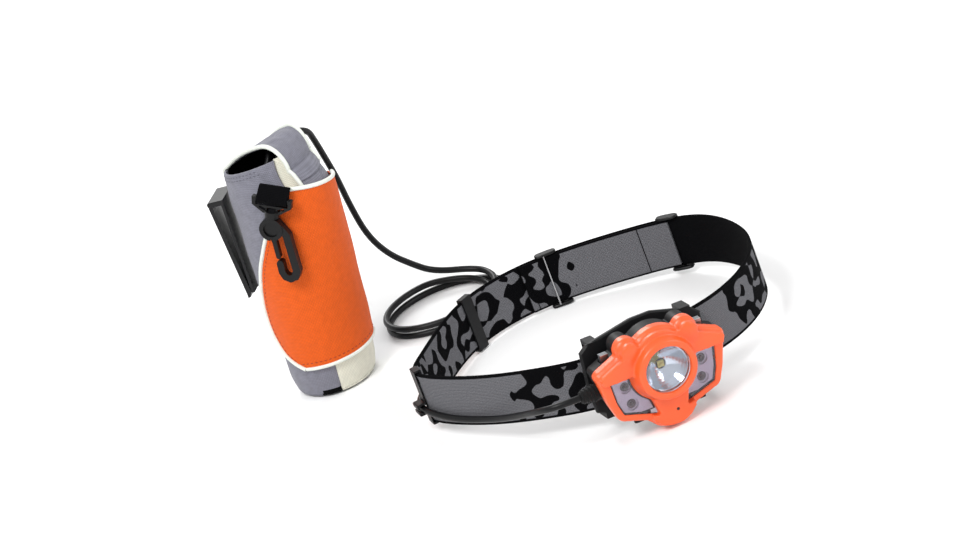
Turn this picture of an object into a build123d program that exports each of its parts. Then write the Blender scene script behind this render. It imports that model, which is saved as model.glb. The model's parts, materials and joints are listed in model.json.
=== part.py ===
from build123d import *
from math import atan2, cos, degrees, floor, hypot, pi, radians, sin, tan
import os

# Headlamp with a remote battery pack, lying as it is set down on a table.
# Millimetres. +Z up, the lamp faces -Y. The origin is under the middle of the object, on the table.

# ---- driving dimensions -------------------------------------------------------------------
ORIGIN = (-20.0, 20.0, 0)          # from the centre of the strap loop to the object's origin

WEB_WIDTH = 30.0                   # head strap webbing
WEB_THICK = 1.6
TAIL_THICK = 1.5
TAIL_GAP = 0.25
STRAP_TILT = -4.5                  # the strap's front edge is carried by the lamp
STRAP_HINGE_Y = 75.0
STRAP_LIFT = 2.0                   # slider bars keep the webbing off the table

CABLE_D = 3.8
CABLE_OFF = WEB_THICK / 2 + 0.95 + CABLE_D / 2

LAMP_AT = (-12.0, -125.0, 35.6)    # centre of the front ring's face
LAMP_ROLL = 5.0
LAMP_YAW = -5.0
LENS_R = 12.9
RING_R = 18.8
BEZEL_BACK = 15.5
HOUSING_FRONT = 16.3
HOUSING_BACK = 25.2
TILT_Y = 26.2                      # tilt hinge axis, in the lamp's own frame
TILT_Z = -17.0
PIN_R = 1.5
RUN_FIT = 0.05
BRACKET_FRONT = 28.9
BRACKET_BACK = 31.5

POUCH_AT = (-107.3, 127.9)         # centre of the pouch's base
POUCH_TURN = 21.0                  # the pouch's depth runs this far round from +X
POUCH_LEAN = (0.06, -0.01)
POUCH_WALL = 1.4
SLEEVE_TOP = 136.0                 # the back of the sleeve; the front hem slopes up to the right
HEM_LOW = 136.5
HEM_RISE = 0.2                     # rise of the front hem for each millimetre across
HOOD_FRONT = -8.0                  # depths of the hood's two arches
HOOD_BACK = 17.0
HOOD_LEVEL = 140.0
HEM_BACK = -10.3                   # depth at which the front hem ends, clear of the hood's piping
FLAP_GAP = 0.7
FLAP_THICK = 1.3
FLAP_LOW = 22.0
FLAP_HIGH = 128.6
FLAP_SEAM = 53.0                   # angles round the pouch, from its width axis
FLAP_FREE = -140.0

HOOK_ANGLE = -54.0                 # where the hook hangs, round the pouch
HOOK_TOP = 134.5
HOOK_LEAN = -19.5                  # the hook's frame is turned in the flap's face
HOOK_STAND = 9.0                   # from the flap's face to the middle of the hook
LOOP_BAR = (-4.6, -3.4)            # height and depth of the loop's bar in the hook's frame
SWIVEL_R = 1.8
EYE_AT = (0.0, -22.1)
GATE_AT = (1.6, -28.6)

CLIP_ANGLE = -150.0                # belt clip, round the pouch
CLIP_MID = 93.0
CLIP_WIDTH = 24.0

AA_R = 7.2
AA_LENGTH = 50.0
CELL_PITCH = 14.8
CASE_HALF = 17.4
CASE_FLOOR = 4.0
CASE_HEIGHT = 108.0

# Control points of the strap's centre line, anticlockwise seen from below, one closed loop.
STRAP_LOOP = [
    (-16, -92.6), (-40, -90), (-58, -71), (-71, -56), (-85, -36), (-98, -7), (-102, 13), (-86, 29), (-64, 53),
    (-40, 73), (-12, 81), (18, 77), (51, 59), (86, 36), (99, 8), (95, -44), (68, -80), (37, -95), (11, -94.8),
]
CLIP_LEFT_U = 5.8
CLIP_REAR_U = 9.05
SLIDER_LEFT_U = 11.0
SLIDER_RIGHT_U = 12.95
HEM_U = 10.45

# Cable clipped along the outside of the strap: place on the loop and height up the webbing.
HELD_ROUTE = [
    (4.0, 5.5), (4.5, 6.2), (4.95, 7.0), (5.35, 8.0), (5.65, 8.8), (5.95, 9.4), (6.25, 9.7), (6.6, 10.1),
    (7.0, 10.5), (7.45, 10.8), (7.9, 11.1), (8.4, 11.5), (8.85, 12.0), (9.25, 12.0),
]
# Cable between the lamp's gland and the strap.
GLAND_OUT = 13.6                   # straight stretches out of the gland, the clips and the grommet
LEAD_IN = 17.0
CLIP_OUT = 16.0
GROMMET_OUT = 11.0
LEAD_ROUTE = [(-74.4, -86.0, 32.2), (-75.9, -69.0, 25.7)]

# Free cable, from the rear clip to the coil and from the pouch's grommet to the coil.
CLIP_RUN = [(0.0, 98.0, 8.0), (9.5, 116.0, 4.5)]
CLIP_RUN_END = (9.3, 133.0, 4.5)
POUCH_RUN = [
    (-65.0, 147.0, 129.5), (-61.8, 150.0, 116.0), (-58.3, 153.2, 100.0), (-55.5, 157.5, 81.0),
    (-51.5, 159.5, 58.0),
    (-42.5, 162.5, 39.5), (-30.0, 164.4, 25.3), (-18.5, 163.6, 14.6),
]
POUCH_RUN_END = (-9.6, 159.6, 10.6)
GROMMET_AT = (-4.0, 17.0, 145.5)  # across, deep and high in the pouch's own frame
GROMMET_DIP = 15.0
GROMMET_LENGTH = 6.0
COIL_AT = (-29.0, 141.0)
COIL_A = 38.0
COIL_B = 31.0
COIL_BAND = 12.0
COIL_HEIGHT = 9.0


# ---- helpers ------------------------------------------------------------------------------
def save(name, *solids):
    placed = [Pos(-ORIGIN[0], -ORIGIN[1], -ORIGIN[2]) * solid for solid in solids]
    shape = placed[0] if len(placed) == 1 else Compound(children=placed)
    export_step(shape, f"parts/{name}.step")


def box_between(low, high):
    centre = [(a + b) / 2 for a, b in zip(low, high)]
    size = [b - a for a, b in zip(low, high)]
    return Pos(*centre) * Box(*size)


def strap_point(u, offset=0.0):
    """A point of the loop, offset outwards, with the outward normal."""
    count = len(STRAP_LOOP)
    first = floor(u)
    t = u - first
    weights = [(1 - t) ** 3, 3 * t**3 - 6 * t**2 + 4, -3 * t**3 + 3 * t**2 + 3 * t + 1, t**3]
    slopes = [-((1 - t) ** 2), 3 * t**2 - 4 * t, -3 * t**2 + 2 * t + 1, t**2]
    near = [STRAP_LOOP[(first - 1 + k) % count] for k in range(4)]
    x = sum(w * p[0] for w, p in zip(weights, near)) / 6
    y = sum(w * p[1] for w, p in zip(weights, near)) / 6
    dx = sum(w * p[0] for w, p in zip(slopes, near))
    dy = sum(w * p[1] for w, p in zip(slopes, near))
    length = hypot(dx, dy)
    nx, ny = -dy / length, dx / length
    if nx * x + ny * (y + 5) < 0:
        nx, ny = -nx, -ny
    return x + nx * offset, y + ny * offset, nx, ny


def lay(shape):
    """From the flat strap frame to the tilted strap."""
    turn = Pos(0, STRAP_HINGE_Y, STRAP_LIFT) * Rot(STRAP_TILT, 0, 0) * Pos(0, -STRAP_HINGE_Y, 0)
    return turn * shape


def lay_point(x, y, z):
    dy = y - STRAP_HINGE_Y
    a = radians(STRAP_TILT)
    return (x, STRAP_HINGE_Y + dy * cos(a) - z * sin(a), STRAP_LIFT + dy * sin(a) + z * cos(a))


def strap_place(u):
    """Local frame on the strap: X along the strap, Y outwards, Z up the webbing."""
    x, y, nx, ny = strap_point(u)
    return Plane(origin=(x, y, 0), x_dir=(ny, -nx, 0), z_dir=(0, 0, 1))


def in_lamp(shape):
    return Pos(*LAMP_AT) * Rot(0, 0, LAMP_YAW) * Rot(0, LAMP_ROLL, 0) * shape


def in_bracket(shape):
    turn = Pos(0, TILT_Y, TILT_Z) * Rot(STRAP_TILT, 0, 0) * Pos(0, -TILT_Y, -TILT_Z)
    return in_lamp(turn * shape)


def lamp_point(x, y, z):
    point = in_lamp(Pos(x, y, z)).position
    return (point.X, point.Y, point.Z)


def face_slab(face, front, back):
    """Extrude a sketch drawn in X and Z from depth front to depth back."""
    plane = Plane(origin=(0, front, 0), x_dir=(1, 0, 0), z_dir=(0, -1, 0))
    return extrude(plane * face, -(back - front))


def turned(profile):
    """Revolve a profile drawn as (depth, radius) about the lamp's optical axis."""
    face = make_face(Polyline(*profile, close=True))
    plane = Plane(origin=(0, 0, 0), x_dir=(0, 1, 0), z_dir=(1, 0, 0))
    return revolve(plane * face, Axis.Y)


def tube_along(points, diameter):
    """Straight runs joined by tangent arcs, each as large as its two runs allow."""
    corners = [Vector(*p) for p in points]
    radii = []
    for before, here, after in zip(corners, corners[1:], corners[2:]):
        half = radians((here - before).get_angle(after - here)) / 2
        shorter = min((here - before).length, (after - here).length)
        radii.append(0.45 * shorter / tan(half))
    path = FilletPolyline(*corners, radius=radii)
    start = Plane(origin=corners[0], z_dir=corners[1] - corners[0])
    tube = sweep(start * Circle(diameter / 2), path)
    section = pi * diameter**2 / 4
    print("radii", [round(r, 1) for r in radii], "length", round(path.length, 1),
          "volume ratio", round(tube.volume / (section * path.length), 4))
    return tube


# ---- head strap ---------------------------------------------------------------------------
def loop_face(offset, steps=4):
    count = len(STRAP_LOOP) * steps
    points = [strap_point(i / steps, offset)[:2] for i in range(count)]
    return make_face(Spline(*points, periodic=True))


def make_strap_band():
    ring = loop_face(WEB_THICK / 2) - loop_face(-WEB_THICK / 2)
    return lay(extrude(ring, WEB_WIDTH))


def make_strap_tail():
    outer_off = -(WEB_THICK / 2 + TAIL_GAP)
    inner_off = outer_off - TAIL_THICK
    stations = [HEM_U + (SLIDER_RIGHT_U - HEM_U) * i / 9 for i in range(10)]
    outer = [strap_point(u, outer_off)[:2] for u in stations]
    inner = [strap_point(u, inner_off)[:2] for u in stations]
    edge = Spline(*outer) + Line(outer[-1], inner[-1]) + Spline(*inner) + Line(inner[0], outer[0])
    return lay(Pos(0, 0, 0.4) * extrude(make_face(edge), WEB_WIDTH - 0.8))


def make_slider(u):
    """Ladder slider: a flat frame that the webbing passes through twice."""
    length, wall = 9.0, 1.3
    inner_depth = WEB_THICK / 2 + TAIL_GAP + TAIL_THICK + 0.55
    outer_depth = WEB_THICK / 2 + 0.55
    frame = box_between((-length / 2, -inner_depth - wall, -1.65), (length / 2, outer_depth + wall, WEB_WIDTH + 1.65))
    frame = fillet(frame.edges().filter_by(Axis.X), 0.6)
    slot = box_between((-length, -inner_depth, -0.45), (length, outer_depth, WEB_WIDTH + 0.45))
    return lay(strap_place(u).location * (frame - slot))


def make_cable_clip(u, height):
    """Keeper round the webbing with a hook for the cable on its outer face."""
    length, wall = 8.0, 1.1
    depth = WEB_THICK / 2 + 0.55
    low, high = -1.5, WEB_WIDTH + 1.5
    frame = box_between((-length / 2, -depth - wall, low), (length / 2, depth + 0.4, high))
    frame = fillet(frame.edges().filter_by(Axis.X), 0.5)
    frame -= box_between((-length, -depth, -0.4), (length, depth, WEB_WIDTH + 0.4))
    hook = box_between((-length / 2, depth, height - 3.4), (length / 2, CABLE_OFF + 3.3, height + 3.4))
    hook = fillet(hook.edges().filter_by(Axis.X), 0.8)
    bore = Pos(0, CABLE_OFF, height) * Rot(0, 90, 0) * Cylinder(CABLE_D / 2 + 0.5, 3 * length)
    mouth = box_between((-length, CABLE_OFF, height - 0.9), (length, CABLE_OFF + 6, height + 0.9))
    return lay(strap_place(u).location * (frame + hook - bore - mouth))


def held_points():
    points = []
    for u, height in HELD_ROUTE:
        x, y = strap_point(u, CABLE_OFF)[:2]
        points.append(lay_point(x, y, height))
    return points


def straight_on(before, end, distance):
    """The point a distance past the end of a run."""
    end = Vector(*end)
    point = end + (end - Vector(*before)).normalized() * distance
    return (point.X, point.Y, point.Z)


# ---- lamp ---------------------------------------------------------------------------------
SCREW_SPOTS = [(-31.6, 3.4), (31.6, 3.4), (-30.9, -8.4), (30.9, -8.4)]


def half_outline(side):
    """Right-hand edges of the bezel's front outline, in X and Z, mirrored for side -1."""
    def p(x, z):
        return (side * x, z)
    return [
        ThreePointArc(p(0, 22), p(5.8, 21), p(11, 18.3)),
        ThreePointArc(p(11, 18.3), p(18.5, 21.4), p(23.5, 13.4)),
        Line(p(23.5, 13.4), p(34.8, 8.4)),
        ThreePointArc(p(34.8, 8.4), p(37.4, 5.8), p(36.8, 2.5)),
        Line(p(36.8, 2.5), p(33.4, -12)),
        Line(p(33.4, -12), p(30.8, -19)),
        ThreePointArc(p(30.8, -19), p(29.2, -22), p(26, -23.6)),
        Line(p(26, -23.6), p(14.8, -27.4)),
        Line(p(14.8, -27.4), p(9.8, -32.4)),
        ThreePointArc(p(9.8, -32.4), p(5.2, -34.6), p(0, -35.2)),
    ]


def lamp_outline(inset=0.0):
    face = make_face(half_outline(1) + half_outline(-1))
    if inset:
        face = offset(face, amount=-inset, kind=Kind.ARC)
    return face


def window_face(side, inset=0.0):
    """Opening of a side window, bounded inside by the ring."""
    corners = [(side * x, z) for x, z in [(30.5, 0.5), (15, 1.5), (8, -25.5), (26.5, -19.5), (29, -12)]]
    face = make_face(Polyline(*corners, close=True)) - Circle(RING_R + 0.6)
    if inset:
        face = offset(face, amount=-inset, kind=Kind.INTERSECTION)
    return face


def flood_places(side):
    return [(side * 22.3, -5.2), (side * 20.6, -15.6)]


def make_bezel():
    body = face_slab(lamp_outline(), 9.8, BEZEL_BACK) + face_slab(lamp_outline(0.8), 9.0, 9.9)
    brow = face_slab(lamp_outline(1.6) & Pos(0, 13) * Rectangle(90, 24), 5.2, 9.0)
    chin = face_slab(lamp_outline(1.6) & Pos(0, -27) * Rectangle(25, 22), 5.6, 9.0)
    ring = turned([(0, LENS_R), (0, 15.6), (0.8, 16.6), (9.2, RING_R), (9.2, LENS_R)])
    body = body + brow + chin + ring
    body -= face_slab(lamp_outline(2.0), 11.0, BEZEL_BACK + 1)
    body -= face_slab(Circle(LENS_R), -1.0, 20.0)
    for side in (-1, 1):
        body -= face_slab(window_face(side), 4.0, 20.0)
    body += turned([(9.0, 13.4), (9.0, 15.2), (12.8, 15.2), (12.8, 13.4)])
    body -= face_slab(Pos(2, -25.6) * Circle(0.9), 4.0, 20.0)
    for x, z in SCREW_SPOTS:
        body += face_slab(Pos(x, z) * Circle(1.35), 10.9, 15.4)
        body -= face_slab(Pos(x, z) * Circle(0.75), 12.4, 16.0)
    for side in (-1, 1):
        body -= box_between((side * 16 - 5.2, 11.4, -32), (side * 16 + 5.2, 15.1, -22))
    return in_lamp(body)


def make_rear_housing():
    body = face_slab(lamp_outline(1.0) & Pos(0, 5) * Rectangle(90, 60), HOUSING_FRONT, HOUSING_BACK - 1.0)
    body += face_slab(lamp_outline(2.0) & Pos(0, 5) * Rectangle(90, 58), HOUSING_BACK - 1.1, HOUSING_BACK)
    wedge_profile = [(HOUSING_BACK + 1, -11.5), (HOUSING_BACK - 0.4, -11.5), (18.6, -26), (HOUSING_BACK + 1, -26)]
    wedge = make_face(Polyline(*wedge_profile, close=True))
    wedge = extrude(Plane(origin=(-45, 0, 0), x_dir=(0, 1, 0), z_dir=(1, 0, 0)) * wedge, 90)
    body -= wedge
    body -= face_slab(lamp_outline(3.0) & Pos(0, 6.6) * Rectangle(90, 35), HOUSING_FRONT - 1, HOUSING_BACK - 2.2)
    for side in (-1, 1):
        body -= box_between((side * 27.5 - 2.6, 17.5, 6.0), (side * 27.5 + 2.6, 22.5, 15.0))
    body -= box_between((-16.6, 19.8, -26), (16.6, HOUSING_BACK + 1, -12.2))
    web = box_between((-8.8, 18.4, TILT_Z - 2.4), (8.8, TILT_Y, TILT_Z + 2.4))
    knuckle = Pos(0, TILT_Y, TILT_Z) * Rot(0, 90, 0) * Cylinder(2.35, 17.6)
    bore = Pos(0, TILT_Y, TILT_Z) * Rot(0, 90, 0) * Cylinder(PIN_R + RUN_FIT, 30)
    body = body + web + knuckle - bore
    body += Pos(-32.9, 21.4, -6.6) * Rot(0, 90, 0) * Cylinder(4.4, 4.4)
    body -= face_slab(lamp_outline(3.0) & Pos(0, -20.7) * Rectangle(60, 6.4), HOUSING_FRONT - 1, 18.8)
    for x, z in SCREW_SPOTS:
        body += face_slab(Pos(x, z) * Circle(2.0), HOUSING_FRONT, HOUSING_BACK - 1.2)
        body -= face_slab(Pos(x, z) * Circle(0.75), 15.0, HOUSING_BACK)
        body -= face_slab(Pos(x, z) * Circle(1.6), 23.1, HOUSING_BACK + 1)
    return in_lamp(body)


def make_gasket():
    ring = lamp_outline(1.3) & Pos(0, 5) * Rectangle(90, 58)
    ring -= lamp_outline(2.4) & Pos(0, 5) * Rectangle(90, 55.8)
    return in_lamp(face_slab(ring, BEZEL_BACK + 0.02, HOUSING_FRONT - 0.02))


def make_spot_lens():
    return in_lamp(turned([(2.4, 0), (2.4, LENS_R - 0.1), (3.9, LENS_R - 0.1), (3.9, 0)]))


def make_spot_reflector():
    """Smooth parabolic cup behind the round lens."""
    depth = 8.0
    rim_r, seat_r, wall = 12.0, 3.0, 0.8
    steps = 8
    inner = []
    for i in range(steps + 1):
        radius = rim_r + (seat_r - rim_r) * i / steps
        inner.append((4.3 + depth * (rim_r**2 - radius**2) / (rim_r**2 - seat_r**2), radius))
    outer = [(depth_at + wall * 0.3, radius + wall) for depth_at, radius in reversed(inner)]
    return in_lamp(turned(inner + outer))


def make_spot_led():
    base = face_slab(Rectangle(3.5, 3.5), 11.6, 12.9)
    dome = Pos(0, 11.6, 0) * Sphere(1.3)
    return in_lamp(base + (dome & box_between((-2, 9, -2), (2, 11.7, 2))))


def make_window(side):
    return in_lamp(face_slab(window_face(side, 0.12), 9.5, 10.9))


def make_flood_reflector(side):
    """Bright tray behind a side window with a round cup for each small LED."""
    tray = face_slab(window_face(side, 0.9), 11.2, 12.9)
    tray -= box_between((-40, 11, -30), (40, 13, -21.7))
    for x, z in flood_places(side):
        tray -= face_slab(Pos(x, z) * Circle(3.6), 10.0, 12.3)
        tray -= face_slab(Pos(x, z) * Circle(2.6), 12.0, 14.0)
    return in_lamp(tray)


def make_flood_leds():
    leds = []
    for side in (-1, 1):
        for x, z in flood_places(side):
            stem = face_slab(Pos(x, z) * Circle(2.3), 12.3, 12.9)
            leds.append(in_lamp(stem + Pos(x, 12.4, z) * (Sphere(1.3) & Pos(0, -1.5, 0) * Box(5, 3, 5))))
    return leds


def make_led_board():
    board = face_slab(lamp_outline(2.4) & Rectangle(90, 43), 13.0, 14.6)
    for x, z in SCREW_SPOTS:
        board -= face_slab(Pos(x, z) * Circle(1.7), 12.0, 16.0)
    return in_lamp(board)


def make_heatsink():
    """Aluminium slug behind the LED board, with fins that stand out of the rear housing."""
    slug = face_slab(Rectangle(44, 18), 16.5, 19.0)
    neck = face_slab(Circle(11), 15.0, 16.6)
    body = slug + neck
    for i in range(-4, 5):
        body += box_between((i * 4.4 - 0.6, 18.9, -9), (i * 4.4 + 0.6, 22.6, 9))
    for side in (-1, 1):
        body += box_between((side * 24.2 - 5.2, 18.0, 4.0), (side * 24.2 + 5.2, 19.0, 7.6))
        for k in range(3):
            y = 18.0 + 1.4 * k
            body += box_between((side * 27.2 - 2.2, y, 5.8), (side * 27.2 + 2.2, y + 0.8, 13.4))
        body += box_between((side * 27.2 - 2.2, 18.0, 5.8), (side * 27.2 + 2.2, 21.6, 6.8))
    return in_lamp(body)


def make_control_board():
    board = face_slab(Pos(0, -20.6) * Rectangle(44, 1.2), 14.9, 18.2)
    chips = box_between((-6, 15.4, -19.95), (2, 17.8, -18.6)) + box_between((6, 15.6, -19.95), (10, 17.4, -18.9))
    switches = [box_between((s * 16 - 2, 15.2, -22.4), (s * 16 + 2, 18.0, -21.25)) for s in (-1, 1)]
    return in_lamp(board), [in_lamp(chips)], [in_lamp(s) for s in switches]


def make_button(side):
    """Push button under the lamp, with two raised dots."""
    cap = box_between((side * 16 - 4.9, 11.7, -27.6), (side * 16 + 4.9, 14.8, -23.3))
    cap = fillet(cap.edges().filter_by(Axis.Z), 1.2)
    for k in (-1, 1):
        cap += Pos(side * 16 + k * 2.2, 13.25, -27.5) * Sphere(0.9)
    return in_lamp(cap)


def make_battery_indicator():
    return in_lamp(face_slab(Pos(2, -25.6) * Circle(0.8), 6.0, 12.6))


def make_bezel_screws():
    screws = []
    for x, z in SCREW_SPOTS:
        shank = face_slab(Pos(x, z) * Circle(0.7), 12.6, 23.3)
        screws.append(in_lamp(shank + face_slab(Pos(x, z) * Circle(1.5), 23.2, 24.2)))
    return screws


def make_cable_gland():
    """Ribbed rubber bush on the lamp's left side."""
    body = Pos(-39.6, 21.4, -6.6) * Rot(0, -90, 0) * Cone(4.6, 3.2, 9.0)
    for k in range(4):
        body += Pos(-36.8 - 2.0 * k, 21.4, -6.6) * Rot(0, 90, 0) * Cylinder(4.9 - 0.35 * k, 0.9)
    return in_lamp(body)


def make_hinge_pin():
    pin = Pos(0, TILT_Y, TILT_Z) * Rot(0, 90, 0) * Cylinder(PIN_R, 27.4)
    return in_lamp(pin)


def make_bracket():
    """Plate between lamp and strap, with hinge ears in front and strap keepers behind."""
    outline = [(-34.5, -22), (-36, -10), (-35.5, 12.5), (-31, 16), (-4, 21), (8, 21), (31, 14.5), (35, 11), (34, -20),
               (29, -23), (-30, -24)]
    plate = face_slab(make_face(Polyline(*outline, close=True)), BRACKET_FRONT, BRACKET_BACK)
    plate = chamfer(plate.faces().sort_by(Axis.Y)[0].edges(), 0.8)
    for side in (-1, 1):
        ear = Pos(side * 11.2, TILT_Y, TILT_Z) * Rot(0, 90, 0) * Cylinder(2.7, 4.0)
        ear += box_between((side * 11.2 - 2, TILT_Y, TILT_Z - 2.7), (side * 11.2 + 2, BRACKET_FRONT + 0.5, TILT_Z + 2.7))
        plate += ear - Pos(side * 11.2, TILT_Y, TILT_Z) * Rot(0, 90, 0) * Cylinder(PIN_R, 10)
    for side in (-1, 1):
        keeper = box_between((side * 27 - 3, BRACKET_BACK - 0.2, -27.0), (side * 27 + 3, BRACKET_BACK + 8.6, 16.5))
        keeper -= box_between((side * 27 - 5, BRACKET_BACK - 1, -23.8), (side * 27 + 5, BRACKET_BACK + 6.9, 14.2))
        plate += keeper
        plate += box_between((side * 27 - 3, BRACKET_FRONT, -27.0), (side * 27 + 3, BRACKET_BACK, -22.0))
        plate += box_between((side * 27 - 3, BRACKET_FRONT, 10.0), (side * 27 + 3, BRACKET_BACK, 16.5))
    return in_bracket(plate)


# ---- battery pouch ------------------------------------------------------------------------
def pouch_centre(z):
    return (POUCH_AT[0] + POUCH_LEAN[0] * z, POUCH_AT[1] + POUCH_LEAN[1] * z, z)


POUCH_AXES = Plane(origin=(0, 0, 0), x_dir=(sin(radians(POUCH_TURN)), -cos(radians(POUCH_TURN)), 0), z_dir=(0, 0, 1))
# Height, half width, half depth and sideways shift of the sleeve's section.
POUCH_SECTIONS = [
    (0, 22.5, 22.5, 0), (8, 25, 25, 0), (40, 27.5, 26.5, 0), (90, 31, 27, 0), (122, 34.8, 24.8, 0),
    (138, 28.6, 22, -5.4), (150, 27.5, 19, -5.4),
]
FLAP_TOP_SECTION = (129, 35.6, 24.3, 0)


def section_at(z, sections):
    for low, high in zip(sections, sections[1:]):
        if z <= high[0]:
            t = (z - low[0]) / (high[0] - low[0])
            return [a + (b - a) * t for a, b in zip(low[1:], high[1:])]
    return list(sections[-1][1:])


def pouch_half(z):
    return section_at(z, POUCH_SECTIONS)


def flap_half(z):
    """The flap keeps its width where the sleeve's top draws in."""
    return section_at(z, POUCH_SECTIONS[:5] + [FLAP_TOP_SECTION])


def pouch_plane(z):
    return Plane(origin=pouch_centre(z), x_dir=POUCH_AXES.x_dir, z_dir=(0, 0, 1))


def pouch_solid(heights, grow, half=pouch_half):
    """Loft of ellipses that follows the sleeve, grown outwards by a fixed amount."""
    sections = []
    for z in heights:
        a, b, shift = half(z)
        sections.append(pouch_plane(z) * (Pos(shift, 0) * Ellipse(a + grow, b + grow)))
    return loft(sections, ruled=True)


def pouch_point(angle, z, grow=0.0, half=pouch_half):
    a, b, shift = half(z)
    t = radians(angle)
    local = Vector(shift + (a + grow) * cos(t), (b + grow) * sin(t), 0)
    point = pouch_plane(z).from_local_coords(local)
    return (point.X, point.Y, point.Z)


def sector(low, high, start, end):
    """Wedge between two angles round the pouch, wide enough to cut any of its skins."""
    reach = 90.0
    steps = 6
    corners = [(0, 0)]
    for i in range(steps + 1):
        t = radians(start + (end - start) * i / steps)
        corners.append((reach * cos(t), reach * sin(t)))
    face = pouch_plane(low) * make_face(Polyline(*corners, close=True))
    lean = Vector(POUCH_LEAN[0], POUCH_LEAN[1], 1) * (high - low)
    return extrude(face, amount=lean.length, dir=lean.normalized())


HEIGHTS = [section[0] for section in POUCH_SECTIONS]
PANELS = {"pouch_front_panel": (-150, -38), "pouch_side_panel": (-38, 62), "pouch_back_panel": (62, 210)}


def make_sleeve():
    """Sleeve and base of the pouch, cut into its sewn panels and its base patch."""
    outer = pouch_solid(HEIGHTS, 0.0)
    inner = pouch_solid([2.0] + HEIGHTS[1:], -POUCH_WALL)
    shell = outer - inner
    back = [(-60, SLEEVE_TOP), (60, SLEEVE_TOP), (60, 160), (-60, 160)]
    hem = [(-60, HEM_LOW - 30 * HEM_RISE), (60, HEM_LOW + 90 * HEM_RISE), (60, 180), (-60, 180)]
    for outline, start, reach in ((back, HEM_BACK, 60), (hem, HEM_BACK, -60)):
        face = pouch_upright(HOOD_LEVEL, start) * make_face(Polyline(*outline, close=True))
        shell -= extrude(face, -reach)
    base_cut = pouch_plane(-1) * Cylinder(60, 3.0, align=(Align.CENTER, Align.CENTER, Align.MIN))
    panels = {name: (shell - base_cut) & sector(-2, 145, *span) for name, span in PANELS.items()}
    return panels, shell & base_cut


def arch_edges(inset=0.0, foot=136.3):
    """The hood's arch, steeper on its right, in X across the pouch and height."""
    left = (-31.6 + inset, foot)
    crown = (4.0, 152.2 - inset)
    right = (21.8 - inset, 137.0)
    low = (21.9 - inset, foot)
    edges = [ThreePointArc(left, (-13.0 + 0.4 * inset, 147.2 - inset), crown)]
    edges.append(ThreePointArc(crown, (16.6 - 0.7 * inset, 148.8 - 0.8 * inset), right))
    edges.append(Line(right, low))
    return edges


def arch_face(inset=0.0, foot=136.3):
    edges = arch_edges(inset, foot)
    return make_face(edges + [Line(edges[-1] @ 1, edges[0] @ 0)])


def pouch_upright(z, depth):
    """Plane across the pouch, at a depth from its middle at height z: X along its width, Y up from the table."""
    middle = pouch_plane(z).from_local_coords(Vector(0, depth, 0))
    return Plane(origin=(middle.X, middle.Y, 0), x_dir=POUCH_AXES.x_dir, z_dir=-POUCH_AXES.y_dir)


def make_hood():
    """Cowl over the mouth: a vault, open at the front and closed at the back."""
    span = HOOD_BACK - HOOD_FRONT
    outer = extrude(pouch_upright(HOOD_LEVEL, HOOD_FRONT) * arch_face(), -span)
    inner = extrude(pouch_upright(HOOD_LEVEL, HOOD_FRONT - 1) * arch_face(1.4, 130.0), -(span + 2))
    end = extrude(pouch_upright(HOOD_LEVEL, HOOD_BACK) * arch_face(), -1.5)
    centre, direction = grommet_frame()
    hole = extrude(Plane(origin=centre - direction * 5, z_dir=direction) * Circle(2.7), 12)
    return outer - inner - hole, end - hole


def make_arch_piping(depth):
    left, right, side = arch_edges(0.6, 137.8)
    path = Wire([pouch_upright(HOOD_LEVEL, depth) * edge for edge in (left, right)])
    start = Plane(origin=path @ 0, z_dir=path % 0)
    return sweep(start * Circle(1.25), path)


def flap_skin(heights, near, far, start, end):
    skin = pouch_solid(heights, far, flap_half) - pouch_solid(heights, near, flap_half)
    return skin & sector(heights[0] - 1, heights[-1] + 1, start, end)


def flap_cut(inset=0.0):
    """Prism that trims the flap's free edge, drawn across the pouch's width."""
    edge = [(14.0, 140), (14.0, 128), (6.0, 103), (-5.0, 80), (-17.0, 58), (-17.5, 47), (-12, 36), (-6, 29), (5, 17)]
    lean = POUCH_LEAN[0] * POUCH_AXES.x_dir.X + POUCH_LEAN[1] * POUCH_AXES.x_dir.Y
    edge = [(x - inset + lean * z, z) for x, z in edge]
    outline = [(-70, 140)] + edge + [(-70, 18)]
    return extrude(pouch_upright(0, 0) * make_face(Polyline(*outline, close=True)), 80)


def make_flap():
    heights = [FLAP_LOW, 40, 90, 122, FLAP_HIGH]
    return flap_skin(heights, FLAP_GAP, FLAP_GAP + FLAP_THICK, FLAP_FREE, FLAP_SEAM - 2.5) - flap_cut()


def make_flap_binding(top):
    """Binding along the flap's upper or lower edge."""
    low = FLAP_HIGH + 0.05 if top else FLAP_LOW - 2.45
    heights = [low, low + 2.4]
    return flap_skin(heights, FLAP_GAP, FLAP_GAP + FLAP_THICK + 0.6, FLAP_FREE, FLAP_SEAM - 2.5) - flap_cut()


def make_flap_free_binding():
    """Binding down the flap's curved free edge."""
    heights = [FLAP_LOW, 40, 90, 122, FLAP_HIGH]
    skin = flap_skin(heights, FLAP_GAP, FLAP_GAP + FLAP_THICK + 0.6, FLAP_FREE, FLAP_SEAM - 2.5)
    return (skin & flap_cut()) - flap_cut(2.4)


def make_flap_seam():
    """Strip sewn down the pouch behind the flap's edge."""
    heights = [FLAP_LOW, 40, 90, 122, FLAP_HIGH]
    return flap_skin(heights, 0.02, FLAP_GAP + FLAP_THICK, FLAP_SEAM - 0.6, FLAP_SEAM + 6)


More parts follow.
